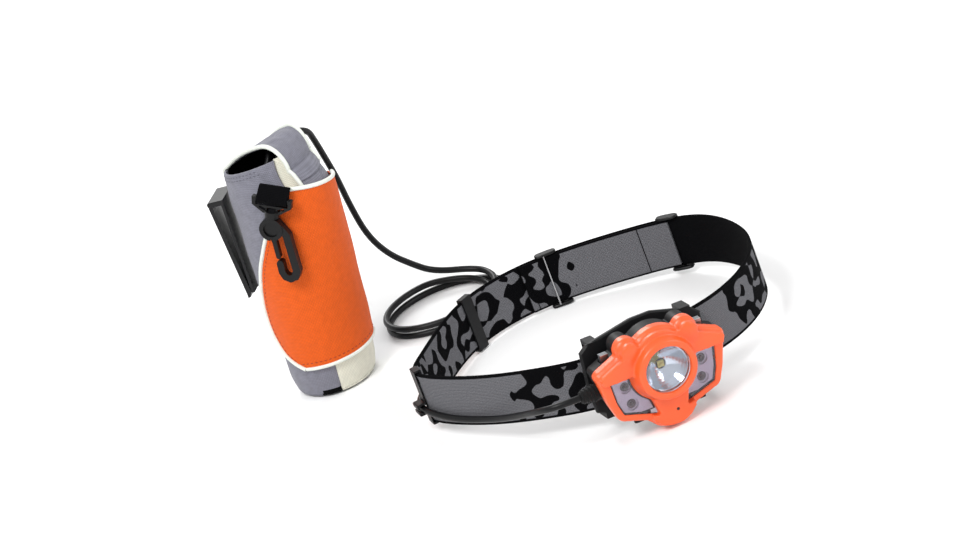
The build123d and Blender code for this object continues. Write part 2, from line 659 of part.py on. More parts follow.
# ---- swivel hook on the flap --------------------------------------------------------------
def hook_plane():
    """Frame of the hook: X across the flap, Y up it, Z out of its face."""
    face = Vector(*pouch_point(HOOK_ANGLE, HOOK_TOP, FLAP_GAP + FLAP_THICK, flap_half))
    left = Vector(*pouch_point(HOOK_ANGLE - 1, HOOK_TOP, 0, flap_half))
    right = Vector(*pouch_point(HOOK_ANGLE + 1, HOOK_TOP, 0, flap_half))
    across = (right - left).normalized()
    low = Vector(*pouch_point(HOOK_ANGLE, HOOK_TOP - 50, FLAP_GAP + FLAP_THICK, flap_half))
    out = across.cross(face - low).normalized()
    across = across.rotate(Axis((0, 0, 0), out), HOOK_LEAN)
    return Plane(origin=face + out * HOOK_STAND, x_dir=across, z_dir=out)


def in_hook(shape):
    return hook_plane().location * shape


def bar(points, width, thick):
    """Flat bar with round ends along a polyline in the hook's plane."""
    pieces = []
    for start, end in zip(points, points[1:]):
        span = hypot(end[0] - start[0], end[1] - start[1])
        angle = degrees(atan2(end[1] - start[1], end[0] - start[0]))
        middle = Pos((start[0] + end[0]) / 2, (start[1] + end[1]) / 2, 0)
        pieces.append(middle * Rot(0, 0, angle) * Box(span, width, thick))
    for x, y in points:
        pieces.append(Pos(x, y, 0) * Cylinder(width / 2, thick))
    return Part() + pieces


def cross_rod(x, y, z, radius, length):
    return Pos(x, y, z) * Rot(0, 90, 0) * Cylinder(radius, length)


def stem_rod(low, high, radius, z):
    return Pos(0, (low + high) / 2, z) * Rot(90, 0, 0) * Cylinder(radius, high - low)


def make_hook_tab():
    """Webbing sewn to the flap's corner and folded round the loop's bar."""
    y, z = LOOP_BAR
    tab = box_between((-9, y, z - 2.7), (9, 3.0, z - 1.6))
    tab += cross_rod(0, y, z, 2.7, 18.0)
    tab -= cross_rod(0, y, z, 1.6, 30.0)
    return in_hook(tab)


def make_hook_loop():
    """Flared loop with the swivel's socket below it."""
    y, z = LOOP_BAR
    outline = [(-11.6, y + 1.4), (11.6, y + 1.4), (11.4, y - 3.4), (5.0, y - 7.8), (-5.0, y - 7.8), (-11.4, y - 3.4)]
    plate = Pos(0, 0, z - 1.5) * extrude(make_face(Polyline(*outline, close=True)), 3.0)
    plate -= box_between((-9.4, y - 3.2, z - 4), (9.4, y + 4, z + 4))
    for side in (-1, 1):
        plate -= Pos(side * 5.4, y - 5.0, z) * Rot(0, 0, side * 22) * Box(4.0, 1.5, 8)
    loop = plate + cross_rod(0, y, z, 1.4, 22.0)
    loop += stem_rod(y - 10.2, y - 6.4, 4.2, z)
    loop -= stem_rod(y - 11.4, y - 4.8, SWIVEL_R + RUN_FIT, z)
    loop -= stem_rod(y - 8.3, y - 4.4, 3.1, z)
    return in_hook(loop)


def make_hook_body():
    """Eye, spine and nose of the snap hook, with the swivel pin above."""
    y, z = LOOP_BAR
    ex, ey = EYE_AT
    body = stem_rod(ey, y - 7.9, SWIVEL_R, z) + stem_rod(y - 8.0, y - 6.6, 2.7, z)
    body += Pos(ex, ey, z) * Cylinder(6.8, 5.2)
    body -= Pos(ex, ey, z + 2.6) * Cylinder(4.4, 2.4)
    spine = [(5.2, -20.6), (9.0, -24.6), (11.8, -34.6), (15.2, -45.6), (14.4, -49.2), (11.6, -51.2), (8.6, -50.4),
             (6.6, -47.6), (5.4, -42.6)]
    body += Pos(0, 0, z) * bar(spine[:5], 4.4, 4.4)
    body += Pos(0, 0, z) * bar(spine[4:], 4.0, 4.2)
    body -= Pos(GATE_AT[0], GATE_AT[1], z) * Cylinder(1.85, 12)
    return in_hook(body)


def make_hook_gate():
    z = LOOP_BAR[1]
    gate = bar([GATE_AT, (4.3, -38.6)], 2.6, 3.4) + Pos(GATE_AT[0], GATE_AT[1], 0) * Cylinder(1.6, 3.4)
    return in_hook(Pos(0, 0, z) * gate)


# ---- belt clip ----------------------------------------------------------------------------
def clip_plane():
    """Frame of the belt clip: X across it, Y up it, Z out from the pouch."""
    low = Vector(*pouch_point(CLIP_ANGLE, CLIP_MID - 30, 0.3))
    high = Vector(*pouch_point(CLIP_ANGLE, CLIP_MID + 30, 0.3))
    left = Vector(*pouch_point(CLIP_ANGLE - 1, CLIP_MID))
    right = Vector(*pouch_point(CLIP_ANGLE + 1, CLIP_MID))
    up = (high - low).normalized()
    out = (right - left).cross(up).normalized()
    return Plane(origin=(low + high) / 2 + out * 1.1, x_dir=up.cross(out), z_dir=out)


def make_clip_base():
    """Back plate of the belt clip with the bridge over its top."""
    w = CLIP_WIDTH / 2
    base = box_between((-w, -27, 0), (w, 31, 1.6))
    base += box_between((-w, 28.0, 0), (w, 31, 9.6))
    base = fillet(base.edges().filter_by(Axis.X).sort_by(Axis.Z)[-2:], 1.2)
    return clip_plane().location * base


def make_clip_arm():
    """Sprung arm that presses the belt against the back plate."""
    w = CLIP_WIDTH / 2
    outline = [(27.7, 9.6), (27.7, 7.2), (24.0, 7.2), (-27.0, 2.2), (-29.5, 3.4), (-30.0, 5.0), (-27.5, 5.0)]
    face = make_face(Polyline(*outline, close=True))
    arm = extrude(Plane(origin=(-w + 1, 0, 0), x_dir=(0, 1, 0), z_dir=(1, 0, 0)) * face, 2 * w - 2)
    return clip_plane().location * arm


def make_clip_rivets():
    rivets = []
    for y in (-16, 18):
        rivet = Pos(0, y, 1.6) * Cylinder(2.4, 0.8, align=(Align.CENTER, Align.CENTER, Align.MIN))
        rivets.append(clip_plane().location * rivet)
    return rivets


# ---- battery case -------------------------------------------------------------------------
def case_plane(height):
    """Frame square to the leaning pouch, a height above its base."""
    axis = Vector(POUCH_LEAN[0], POUCH_LEAN[1], 1).normalized()
    x_dir = Vector(cos(radians(POUCH_TURN)), sin(radians(POUCH_TURN)), 0)
    x_dir = (x_dir - axis * x_dir.dot(axis)).normalized()
    return Plane(origin=Vector(*pouch_centre(0)) + axis * height, x_dir=x_dir, z_dir=axis)


def case_block(half, corner, low, high):
    return extrude(case_plane(low) * RectangleRounded(2 * half, 2 * half, corner), high - low)


CELL_SPOTS = [(x * CELL_PITCH / 2, y * CELL_PITCH / 2) for x in (-1, 1) for y in (-1, 1)]
CELLS_LOW = CASE_FLOOR + 1.6 + 2.6
CASE_TOP = CASE_FLOOR + CASE_HEIGHT


def make_battery_case():
    shell = case_block(CASE_HALF, 8.5, CASE_FLOOR, CASE_TOP)
    return shell - case_block(CASE_HALF - 1.6, 6.9, CASE_FLOOR + 1.6, CASE_TOP + 1)


def make_battery_cap():
    cap = case_block(CASE_HALF, 8.5, CASE_TOP + 0.6, CASE_TOP + 4.6)
    plug = case_block(CASE_HALF - 1.9, 6.6, CASE_TOP - 3.0, CASE_TOP + 0.7)
    hollow = case_block(CASE_HALF - 3.6, 5.0, CASE_TOP - 3.5, CASE_TOP + 2.6)
    latch = extrude(case_plane(CASE_TOP + 4.5) * (Pos(4, 0) * RectangleRounded(10, 7, 1.5)), 1.6)
    return cap + plug - hollow + latch


def make_cap_seal():
    ring = case_block(CASE_HALF - 0.4, 8.1, CASE_TOP + 0.03, CASE_TOP + 0.57)
    return ring - case_block(CASE_HALF - 1.5, 7.0, CASE_TOP - 1, CASE_TOP + 2)


def make_cells(layer):
    cells = []
    low = CELLS_LOW + layer * AA_LENGTH
    for x, y in CELL_SPOTS:
        body = extrude(case_plane(low) * (Pos(x, y) * Circle(AA_R)), AA_LENGTH - 1.5)
        body += extrude(case_plane(low + AA_LENGTH - 1.6) * (Pos(x, y) * Circle(2.6)), 1.55)
        cells.append(body)
    return cells


def make_contacts():
    low = case_block(14.9, 6.0, CASE_FLOOR + 1.65, CASE_FLOOR + 2.15)
    top = CELLS_LOW + 2 * AA_LENGTH
    high = case_block(12.0, 4.0, top + 0.05, top + 0.55)
    springs = []
    for x, y in CELL_SPOTS:
        start = CASE_FLOOR + 2.2
        springs.append(Location(case_plane(start)) * Pos(x, y, (CELLS_LOW - start) / 2) * Cone(3.4, 1.8, CELLS_LOW - start - 0.1))
    return low, high, springs


def grommet_frame():
    across, deep, high = GROMMET_AT
    centre = pouch_plane(high).from_local_coords(Vector(across, deep, 0))
    dip = radians(GROMMET_DIP)
    direction = POUCH_AXES.y_dir * cos(dip) - Vector(0, 0, sin(dip))
    return centre, direction


def make_grommet():
    """Rubber bush in the pouch's back, where the cable comes out."""
    centre, direction = grommet_frame()
    inside = Plane(origin=centre - direction * 1.4, z_dir=direction)
    body = extrude(inside * Circle(2.6), 3.8)
    body += extrude(inside.offset(3.7) * Circle(3.2), 1.1)
    tail = inside.offset(4.7)
    body += loft([tail * Circle(2.9), tail.offset(GROMMET_LENGTH - 3.3) * Circle(2.2)])
    return body


def make_inner_lead():
    """Cable inside the pouch, from the battery cap to the grommet."""
    centre, direction = grommet_frame()
    end = centre - direction * 1.4
    start = case_plane(CASE_TOP + 9.8).from_local_coords(Vector(-8, 0, 0))
    points = [start, start + Vector(0.6, -0.1, 10), end - direction * 9, end]
    return tube_along([(p.X, p.Y, p.Z) for p in points], CABLE_D)


def make_cap_relief():
    """Strain relief that carries the cable out of the battery cap."""
    foot = case_plane(CASE_TOP + 4.6)
    return loft([foot * (Pos(-8, 0) * Circle(3.8)), foot.offset(5.1) * (Pos(-8, 0) * Circle(2.6))])


# ---- build --------------------------------------------------------------------------------
def build():
    os.makedirs("parts", exist_ok=True)

    save("strap_band", make_strap_band())
    save("strap_tail", make_strap_tail())
    save("slider_left", make_slider(SLIDER_LEFT_U))
    save("slider_right", make_slider(SLIDER_RIGHT_U))
    save("cable_clip_left", make_cable_clip(CLIP_LEFT_U, 9.4))
    save("cable_clip_rear", make_cable_clip(CLIP_REAR_U, 12.0))

    save("bezel", make_bezel())
    save("rear_housing", make_rear_housing())
    save("bezel_gasket", make_gasket())
    save("spot_lens", make_spot_lens())
    save("spot_reflector", make_spot_reflector())
    save("spot_led", make_spot_led())
    for side, word in ((-1, "left"), (1, "right")):
        save(f"side_window_{word}", make_window(side))
        save(f"button_{word}", make_button(side))
    save("flood_reflectors", make_flood_reflector(-1), make_flood_reflector(1))
    save("flood_leds", *make_flood_leds())
    save("led_board", make_led_board())
    save("heatsink", make_heatsink())
    board, chips, switches = make_control_board()
    save("control_board", board)
    save("board_parts", *chips, *switches)
    save("battery_indicator", make_battery_indicator())
    save("bezel_screws", *make_bezel_screws())
    save("cable_gland", make_cable_gland())
    save("hinge_pin", make_hinge_pin())
    save("bracket", make_bracket())

    held = held_points()
    gland_end = lamp_point(-44.1, 21.4, -6.6)
    lead = [gland_end, straight_on(lamp_point(-40, 21.4, -6.6), gland_end, GLAND_OUT)] + LEAD_ROUTE
    lead += [straight_on(held[1], held[0], LEAD_IN), held[0]]
    save("cable_lead", tube_along(lead, CABLE_D))
    save("cable_on_strap", tube_along(held, CABLE_D))
    clip_run = [held[-1], straight_on(held[-2], held[-1], CLIP_OUT)] + CLIP_RUN + [CLIP_RUN_END]
    save("cable_clip_run", tube_along(clip_run, CABLE_D))
    centre, direction = grommet_frame()
    leaving = [centre + direction * reach for reach in (GROMMET_LENGTH, GROMMET_LENGTH + GROMMET_OUT)]
    pouch_run = [(p.X, p.Y, p.Z) for p in leaving] + POUCH_RUN + [POUCH_RUN_END]
    save("cable_pouch_run", tube_along(pouch_run, CABLE_D))
    for route in (lead, held, clip_run, pouch_run):
        print([tuple(round(float(c), 2) for c in point) for point in route])
    ring = Ellipse(COIL_A, COIL_B) - Ellipse(COIL_A - COIL_BAND, COIL_B - COIL_BAND)
    save("cable_coil", Pos(COIL_AT[0], COIL_AT[1], 0.05) * extrude(ring, COIL_HEIGHT))

    panels, base = make_sleeve()
    for name, panel in panels.items():
        save(name, panel)
    save("pouch_base", base)
    vault, end = make_hood()
    save("hood", vault)
    save("hood_back", end)
    save("hood_piping_front", make_arch_piping(-11.3))
    save("hood_piping_back", make_arch_piping(23.3))
    save("cable_grommet", make_grommet())
    save("flap", make_flap())
    save("flap_bindings", make_flap_binding(True), make_flap_binding(False))
    save("flap_binding_free", make_flap_free_binding())
    save("flap_seam", make_flap_seam())

    save("hook_tab", make_hook_tab())
    save("hook_loop", make_hook_loop())
    save("hook_body", make_hook_body())
    save("hook_gate", make_hook_gate())
    save("belt_clip_base", make_clip_base())
    save("belt_clip_arm", make_clip_arm())
    save("belt_clip_rivets", *make_clip_rivets())

    save("battery_case", make_battery_case())
    save("battery_cap", make_battery_cap())
    save("cap_seal", make_cap_seal())
    save("cap_strain_relief", make_cap_relief())
    save("inner_lead", make_inner_lead())
    save("cells", *make_cells(0), *make_cells(1))
    low, high, springs = make_contacts()
    save("contact_plates", low, high)
    save("contact_springs", *springs)


build()
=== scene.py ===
import json
from math import acos, atan2, ceil, cos, degrees, floor, hypot, pi, radians, sin

import bmesh
import bpy
from mathutils import Matrix, Vector, noise


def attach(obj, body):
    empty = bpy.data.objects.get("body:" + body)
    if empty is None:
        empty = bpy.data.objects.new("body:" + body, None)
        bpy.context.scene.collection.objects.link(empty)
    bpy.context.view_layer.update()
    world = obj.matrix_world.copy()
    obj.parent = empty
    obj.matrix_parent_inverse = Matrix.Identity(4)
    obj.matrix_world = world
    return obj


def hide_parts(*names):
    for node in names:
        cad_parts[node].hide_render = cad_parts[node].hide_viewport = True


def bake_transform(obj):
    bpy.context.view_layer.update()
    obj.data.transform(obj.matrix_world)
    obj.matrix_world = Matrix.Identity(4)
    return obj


# Headlamp with a remote battery pouch. Everything here is in metres, in the CAD model's frame.
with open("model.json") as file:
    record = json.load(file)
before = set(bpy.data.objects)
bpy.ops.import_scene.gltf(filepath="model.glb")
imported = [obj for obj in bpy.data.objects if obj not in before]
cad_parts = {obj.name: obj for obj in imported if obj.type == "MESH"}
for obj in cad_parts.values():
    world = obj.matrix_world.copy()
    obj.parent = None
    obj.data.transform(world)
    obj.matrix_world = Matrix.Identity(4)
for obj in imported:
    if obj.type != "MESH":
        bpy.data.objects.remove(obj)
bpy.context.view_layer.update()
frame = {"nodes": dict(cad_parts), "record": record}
NODES = frame["nodes"]
MM = 0.001


def at(x, y, z):
    """A point given in millimetres from the middle of the strap loop."""
    return Vector((x + 20.0, y - 20.0, z)) * MM


# ---- camera, light and floor --------------------------------------------------------------
def make_camera():
    data = bpy.data.cameras.new("camera")
    data.lens = 135.0
    data.sensor_width = 36.0
    camera = bpy.data.objects.new("camera", data)
    bpy.context.collection.objects.link(camera)
    right = Vector((0.84479, -0.43970, -0.30495))
    up = Vector((0.44177, 0.25153, 0.86115))
    back = Vector((-0.30195, -0.86221, 0.40674))
    turn = Matrix((right, up, back)).transposed().to_4x4()
    camera.matrix_world = Matrix.Translation((-0.625308, -1.735635, 0.882667)) @ turn
    bpy.context.scene.camera = camera


def area_light(name, place, target, size, power):
    data = bpy.data.lights.new(name, "AREA")
    data.shape = "DISK"
    data.size = size
    data.energy = power
    light = bpy.data.objects.new(name, data)
    light.location = place
    light.rotation_euler = (Vector(target) - Vector(place)).to_track_quat("-Z", "Y").to_euler()
    bpy.context.collection.objects.link(light)


def make_studio():
    scene = bpy.context.scene
    scene.view_settings.view_transform = "Standard"
    world = bpy.data.worlds.new("studio")
    scene.world = world
    world.use_nodes = True
    world.node_tree.nodes["Background"].inputs["Color"].default_value = (1, 1, 1, 1)
    world.node_tree.nodes["Background"].inputs["Strength"].default_value = 0.82
    area_light("key", (-0.7, -0.5, 1.1), (0, 0, 0.05), 0.5, 11.0)
    area_light("fill", (0.9, -0.9, 0.7), (0, 0, 0.05), 0.7, 5.0)
    area_light("rim", (0.2, 1.1, 0.8), (0, 0, 0.05), 0.5, 6.0)
    bpy.ops.mesh.primitive_plane_add(size=8.0, location=(0, 0, 0))
    floor_piece = bpy.context.object
    floor_piece.name = "floor"
    material, _, shader = new_material("floor_paper")
    shader.inputs["Base Color"].default_value = (0.93, 0.93, 0.93, 1)
    shader.inputs["Roughness"].default_value = 0.75
    floor_piece.data.materials.append(material)


# ---- materials ----------------------------------------------------------------------------
def linear(colour):
    parts = [c / 255.0 for c in colour]
    return [c / 12.92 if c <= 0.04045 else ((c + 0.055) / 1.055) ** 2.4 for c in parts] + [1.0]


def new_material(name):
    material = bpy.data.materials.new(name)
    material.use_nodes = True
    return material, material.node_tree, material.node_tree.nodes["Principled BSDF"]


def node(tree, kind, inputs=(), **settings):
    made = tree.nodes.new(kind)
    for key, value in settings.items():
        setattr(made, key, value)
    for key, value in dict(inputs).items():
        if isinstance(value, bpy.types.NodeSocket):
            tree.links.new(value, made.inputs[key])
        else:
            made.inputs[key].default_value = value
    return made


def mottled(tree, coords, colour, amount, scale, detail=3.0):
    """The colour, lighter and darker by an amount in soft patches."""
    patches = node(tree, "ShaderNodeTexNoise", {"Vector": coords, "Scale": scale, "Detail": detail})
    ramp = node(tree, "ShaderNodeValToRGB", {"Fac": patches.outputs["Fac"]})
    low, high = ramp.color_ramp.elements
    low.position, high.position = 0.32, 0.68
    low.color = [c * (1 - amount) for c in colour[:3]] + [1]
    high.color = [min(1, c * (1 + amount)) for c in colour[:3]] + [1]
    return ramp.outputs["Color"]


def weave(tree, coords, pitch):
    """Height of a plain weave: two crossing sets of threads."""
    across = node(tree, "ShaderNodeTexWave", {"Vector": coords, "Scale": 0.314 / pitch, "Distortion": 0.6})
    along = node(tree, "ShaderNodeTexWave", {"Vector": coords, "Scale": 0.314 / pitch, "Distortion": 0.6},
                 bands_direction="Y")
    return node(tree, "ShaderNodeMath", {0: across.outputs["Fac"], 1: along.outputs["Fac"]},
                operation="ADD").outputs[0]


def cloth(name, colour, pitch=0.0011, rough=0.85, depth=0.5, mottle=0.12, sheen=0.25):
    material, tree, shader = new_material(name)
    coords = node(tree, "ShaderNodeTexCoord").outputs["UV"]
    base = mottled(tree, coords, linear(colour), mottle, 260.0, 8.0)
    threads = weave(tree, coords, pitch)
    # Painted shade in the gaps between threads and painted highlight on their tops: the weave's height scales
    # the colour from 0.74 to 1.12.
    shade = node(tree, "ShaderNodeMapRange", {"Value": threads, "From Min": 0.0, "From Max": 2.0,
                                              "To Min": 0.74, "To Max": 1.12})
    thread_shaded = node(tree, "ShaderNodeMixRGB", {"Fac": 1.0, "Color1": base, "Color2": shade.outputs[0]},
                  blend_type="MULTIPLY")
    tree.links.new(thread_shaded.outputs["Color"], shader.inputs["Base Color"])
    bump = node(tree, "ShaderNodeBump", {"Height": threads, "Strength": depth, "Distance": 0.00025})
    tree.links.new(bump.outputs["Normal"], shader.inputs["Normal"])
    shader.inputs["Roughness"].default_value = rough
    shader.inputs["Specular IOR Level"].default_value = 0.06 if max(colour) < 20 else 0.3
    shader.inputs["Sheen Weight"].default_value = sheen
    shader.inputs["Sheen Roughness"].default_value = 0.5
    return material


def moulded(name, colour, rough=0.4, grain=0.3, grain_size=900.0, mottle=0.05, coat=0.0, metal=0.0,
            shine=0.5):
    """Moulded plastic, rubber or metal: fine surface grain, slightly uneven colour and gloss."""
    material, tree, shader = new_material(name)
    coords = node(tree, "ShaderNodeTexCoord").outputs["Object"]
    tree.links.new(mottled(tree, coords, linear(colour), mottle, 90.0), shader.inputs["Base Color"])
    fine = node(tree, "ShaderNodeTexNoise", {"Vector": coords, "Scale": grain_size, "Detail": 3.0})
    bump = node(tree, "ShaderNodeBump",
                {"Height": fine.outputs["Fac"], "Strength": grain, "Distance": 0.00015})
    tree.links.new(bump.outputs["Normal"], shader.inputs["Normal"])
    worn = node(tree, "ShaderNodeTexNoise", {"Vector": coords, "Scale": 160.0, "Detail": 4.0})
    gloss = node(tree, "ShaderNodeMapRange", {"Value": worn.outputs["Fac"], "To Min": rough * 0.8,
                                              "To Max": min(1.0, rough * 1.25)})
    tree.links.new(gloss.outputs[0], shader.inputs["Roughness"])
    shader.inputs["Coat Weight"].default_value = coat
    shader.inputs["Coat Roughness"].default_value = 0.12
    shader.inputs["Metallic"].default_value = metal
    shader.inputs["Specular IOR Level"].default_value = 0.24 if max(colour) < 20 else shine
    return material


def clear(name, tint, rough=0.03):
    material, tree, shader = new_material(name)
    coords = node(tree, "ShaderNodeTexCoord").outputs["Object"]
    haze = node(tree, "ShaderNodeTexNoise", {"Vector": coords, "Scale": 220.0, "Detail": 2.0})
    gloss = node(tree, "ShaderNodeMapRange",
                 {"Value": haze.outputs["Fac"], "To Min": rough, "To Max": rough * 2.5})
    tree.links.new(gloss.outputs[0], shader.inputs["Roughness"])
    shader.inputs["Base Color"].default_value = linear(tint)
    shader.inputs["Transmission Weight"].default_value = 1.0
    shader.inputs["IOR"].default_value = 1.49
    return material


def camouflage(name):
    """Strap webbing: black rounded patches on grey, plain where the mesh says so, black selvedges."""
    material, tree, shader = new_material(name)
    coords = node(tree, "ShaderNodeTexCoord").outputs["UV"]
    warp = node(tree, "ShaderNodeTexNoise", {"Vector": coords, "Scale": 105.0, "Detail": 0.0})
    shift = node(tree, "ShaderNodeVectorMath", {0: warp.outputs["Color"], 1: (0.007, 0.007, 0.0)},
                 operation="MULTIPLY")
    moved = node(tree, "ShaderNodeVectorMath", {0: coords, 1: shift.outputs[0]}, operation="ADD")
    blobs = node(tree, "ShaderNodeTexNoise", {"Vector": moved.outputs[0], "Scale": 118.0, "Detail": 0.0})
    plain = node(tree, "ShaderNodeAttribute", attribute_name="plain").outputs["Fac"]
    level = node(tree, "ShaderNodeMath", {0: blobs.outputs["Fac"], 1: plain}, operation="ADD")
    patch = node(tree, "ShaderNodeMapRange",
                 {"Value": level.outputs[0], "From Min": 0.498, "From Max": 0.512})
    height = node(tree, "ShaderNodeSeparateXYZ", {"Vector": coords}).outputs["Y"]
    middle = node(tree, "ShaderNodeMath", {0: height, 1: 0.015}, operation="SUBTRACT")
    off = node(tree, "ShaderNodeMath", {0: middle.outputs[0]}, operation="ABSOLUTE")
    edge = node(tree, "ShaderNodeMath", {0: off.outputs[0], 1: 0.0134}, operation="LESS_THAN")
    both = node(tree, "ShaderNodeMath", {0: patch.outputs[0], 1: edge.outputs[0]}, operation="MULTIPLY")
    grey = mottled(tree, coords, linear((106, 106, 110)), 0.2, 1400.0)
    mixed = node(tree, "ShaderNodeMixRGB",
                 {"Fac": both.outputs[0], "Color1": linear((8, 8, 10)), "Color2": grey})
    threads = weave(tree, coords, 0.0009)
    # Painted shade in the gaps between threads and painted highlight on their tops: the weave's height scales
    # the colour from 0.6 to 1.2.
    shade = node(tree, "ShaderNodeMapRange",
                 {"Value": threads, "From Max": 2.0, "To Min": 0.6, "To Max": 1.2})
    thread_shaded = node(tree, "ShaderNodeMixRGB", {"Fac": 1.0, "Color1": mixed.outputs["Color"],
                                             "Color2": shade.outputs[0]}, blend_type="MULTIPLY")
    tree.links.new(thread_shaded.outputs["Color"], shader.inputs["Base Color"])
    bump = node(tree, "ShaderNodeBump", {"Height": threads, "Strength": 0.6, "Distance": 0.0003})
    tree.links.new(bump.outputs["Normal"], shader.inputs["Normal"])
    shader.inputs["Roughness"].default_value = 0.95
    shader.inputs["Specular IOR Level"].default_value = 0.05
    return material


make_camera()
make_studio()
MATERIALS = {
    "orange_shell": moulded("orange_shell", (232, 88, 34), 0.4, 0.12, coat=0.12),
    "black_plastic": moulded("black_plastic", (13, 13, 15), 0.34, 0.35),
    "gloss_black": moulded("gloss_black", (8, 8, 9), 0.2, 0.08, coat=0.3),
    "seal_rubber": moulded("seal_rubber", (13, 13, 14), 0.6),
    "button_rubber": moulded("button_rubber", (16, 16, 18), 0.6),
    "clear_lens": clear("clear_lens", (246, 248, 252)),
    "clear_window": clear("clear_window", (232, 226, 238)),
    "mirror_cup": moulded("mirror_cup", (205, 210, 218), 0.12, 0.02, metal=1.0),
    "bright_tray": moulded("bright_tray", (206, 203, 208), 0.3, 0.05, metal=0.45),
    "led": moulded("led", (228, 214, 120), 0.25, 0.05),
    "flood_led": moulded("flood_led", (96, 92, 86), 0.2, 0.05),
    "board": moulded("board", (70, 74, 78), 0.5),
    "board_parts": moulded("board_parts", (38, 38, 40), 0.45),
    "aluminium": moulded("aluminium", (176, 180, 184), 0.3, 0.2, metal=1.0),
    "light_pipe": moulded("light_pipe", (40, 12, 10), 0.2, 0.02),
    "screw_steel": moulded("screw_steel", (150, 152, 156), 0.28, metal=1.0),
    "spring_steel": moulded("spring_steel", (168, 168, 170), 0.25, metal=1.0),
    "buckle_plastic": moulded("buckle_plastic", (9, 9, 10), 0.36, 0.3),
    "clip_plastic": moulded("clip_plastic", (12, 12, 14), 0.3, 0.3, coat=0.1),
    "cable_rubber": moulded("cable_rubber", (10, 10, 12), 0.36, 0.3, mottle=0.12),
    "case_plastic": moulded("case_plastic", (34, 34, 37), 0.45),
    "cell_wrap": moulded("cell_wrap", (196, 190, 172), 0.3, metal=0.3),
    "contact_brass": moulded("contact_brass", (186, 150, 82), 0.3, metal=1.0),
    "webbing": camouflage("webbing"),
    "black_webbing": cloth("black_webbing", (9, 9, 11), 0.0009, 0.95, 0.5, 0.1, 0.0),
    "grey_cloth": cloth("grey_cloth", (118, 118, 129), 0.0010, 0.85, 0.4, 0.1, 0.15),
    "cream_cloth": cloth("cream_cloth", (214, 212, 196), 0.0009, 0.8, 0.25, 0.05),
    "black_cloth": cloth("black_cloth", (9, 9, 10), 0.0011, 0.95, 0.4, 0.1, 0.0),
    "orange_cloth": cloth("orange_cloth", (217, 87, 7), 0.0009, 0.8, 0.4, 0.05, 0.05),
    "piping": cloth("piping", (226, 230, 222), 0.0007, 0.55, 0.2, 0.04, 0.1),
}
THREAD = cloth("thread", (150, 48, 6), 0.0005, 0.7, 0.2, 0.05)
GREY_THREAD = cloth("grey_thread", (86, 86, 98), 0.0005, 0.7, 0.2, 0.05)


DARK_PLASTIC = moulded("dark_plastic", (15, 15, 17), 0.5, 0.3, 900.0, 0.05, shine=0.18)


def slots_of_nodes():
    """Material slot of every CAD node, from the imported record."""
    found = {}

    def walk(item):
        if isinstance(item, dict):
            name = item.get("node") or item.get("name")
            slot = item.get("slot") or item.get("material_slot") or item.get("material")
            if isinstance(name, str) and isinstance(slot, str) and name in NODES and slot in MATERIALS:
                found[name] = slot
            if isinstance(item.get("nodes"), list):
                label = item.get("slot") or item.get("name")
                for entry in item["nodes"]:
                    if isinstance(entry, str) and entry in NODES and label in MATERIALS:
                        found[entry] = label
            for value in item.values():
                walk(value)
        elif isinstance(item, list):
            for value in item:
                walk(value)

    walk(frame["record"])
    return found


# ---- mesh helpers -------------------------------------------------------------------------
def mesh_object(name, verts, faces, material, uvs=None, sharp=50.0):
    mesh = bpy.data.meshes.new(name)
    mesh.from_pydata([tuple(v) for v in verts], [], faces)
    shaped = bmesh.new()
    shaped.from_mesh(mesh)
    bmesh.ops.recalc_face_normals(shaped, faces=shaped.faces)
    shaped.to_mesh(mesh)
    shaped.free()
    if uvs:
        layer = mesh.uv_layers.new(name="UVMap")
        for loop in mesh.loops:
            layer.data[loop.index].uv = uvs[loop.vertex_index]
    mesh.shade_smooth()
    mesh.set_sharp_from_angle(angle=radians(sharp))
    made = bpy.data.objects.new(name, mesh)
    bpy.context.collection.objects.link(made)
    made.data.materials.append(material)
    return made


def grid_shell(name, outer, inner, material, uvs, wrap=False):
    """A skin with thickness, from matching grids of points for its two faces."""
    rows, cols = len(outer), len(outer[0])
    count = rows * cols
    verts = [p for row in outer for p in row] + [p for row in inner for p in row]
    flat_uvs = [uv for row in uvs for uv in row] * 2
    faces = []
    across = cols if wrap else cols - 1
    for r in range(rows - 1):
        for c in range(across):
            d = (c + 1) % cols
            a, b, e, f = r * cols + c, r * cols + d, (r + 1) * cols + d, (r + 1) * cols + c
            faces.append((a, b, e, f))
            faces.append((count + f, count + e, count + b, count + a))
    top = (rows - 1) * cols
    for c in range(across):
        d = (c + 1) % cols
        faces.append((c, count + c, count + d, d))
        faces.append((top + c, top + d, count + top + d, count + top + c))
    if not wrap:
        for r in range(rows - 1):
            a, b = r * cols, (r + 1) * cols
            faces.append((a, b, count + b, count + a))
            a, b = a + cols - 1, b + cols - 1
            faces.append((b, a, count + a, count + b))
    return mesh_object(name, verts, faces, material, flat_uvs)


def rings_object(name, rings, material, uvs, closed=False, capped=True):
    """Skin through closed rings of points, such as a tube or a strap."""
    count, size = len(rings), len(rings[0])
    verts = [p for ring in rings for p in ring]
    faces = []
    for r in range(count if closed else count - 1):
        q = (r + 1) % count
        for c in range(size):
            d = (c + 1) % size
            faces.append((r * size + c, r * size + d, q * size + d, q * size + c))
    if capped and not closed:
        faces.append(tuple(range(size)))
        faces.append(tuple(reversed(range((count - 1) * size, count * size))))
    return mesh_object(name, verts, faces, material, uvs, 40.0)


def frames_along(points):
    """Tangent and side vectors carried along a path without twist."""
    tangents = []
    for i in range(len(points)):
        before, after = points[max(i - 1, 0)], points[min(i + 1, len(points) - 1)]
        tangents.append((after - before).normalized())
    side = tangents[0].orthogonal().normalized()
    frames = []
    for tangent in tangents:
        side = (side - tangent * side.dot(tangent)).normalized()
        frames.append((tangent, side, tangent.cross(side)))
    return frames


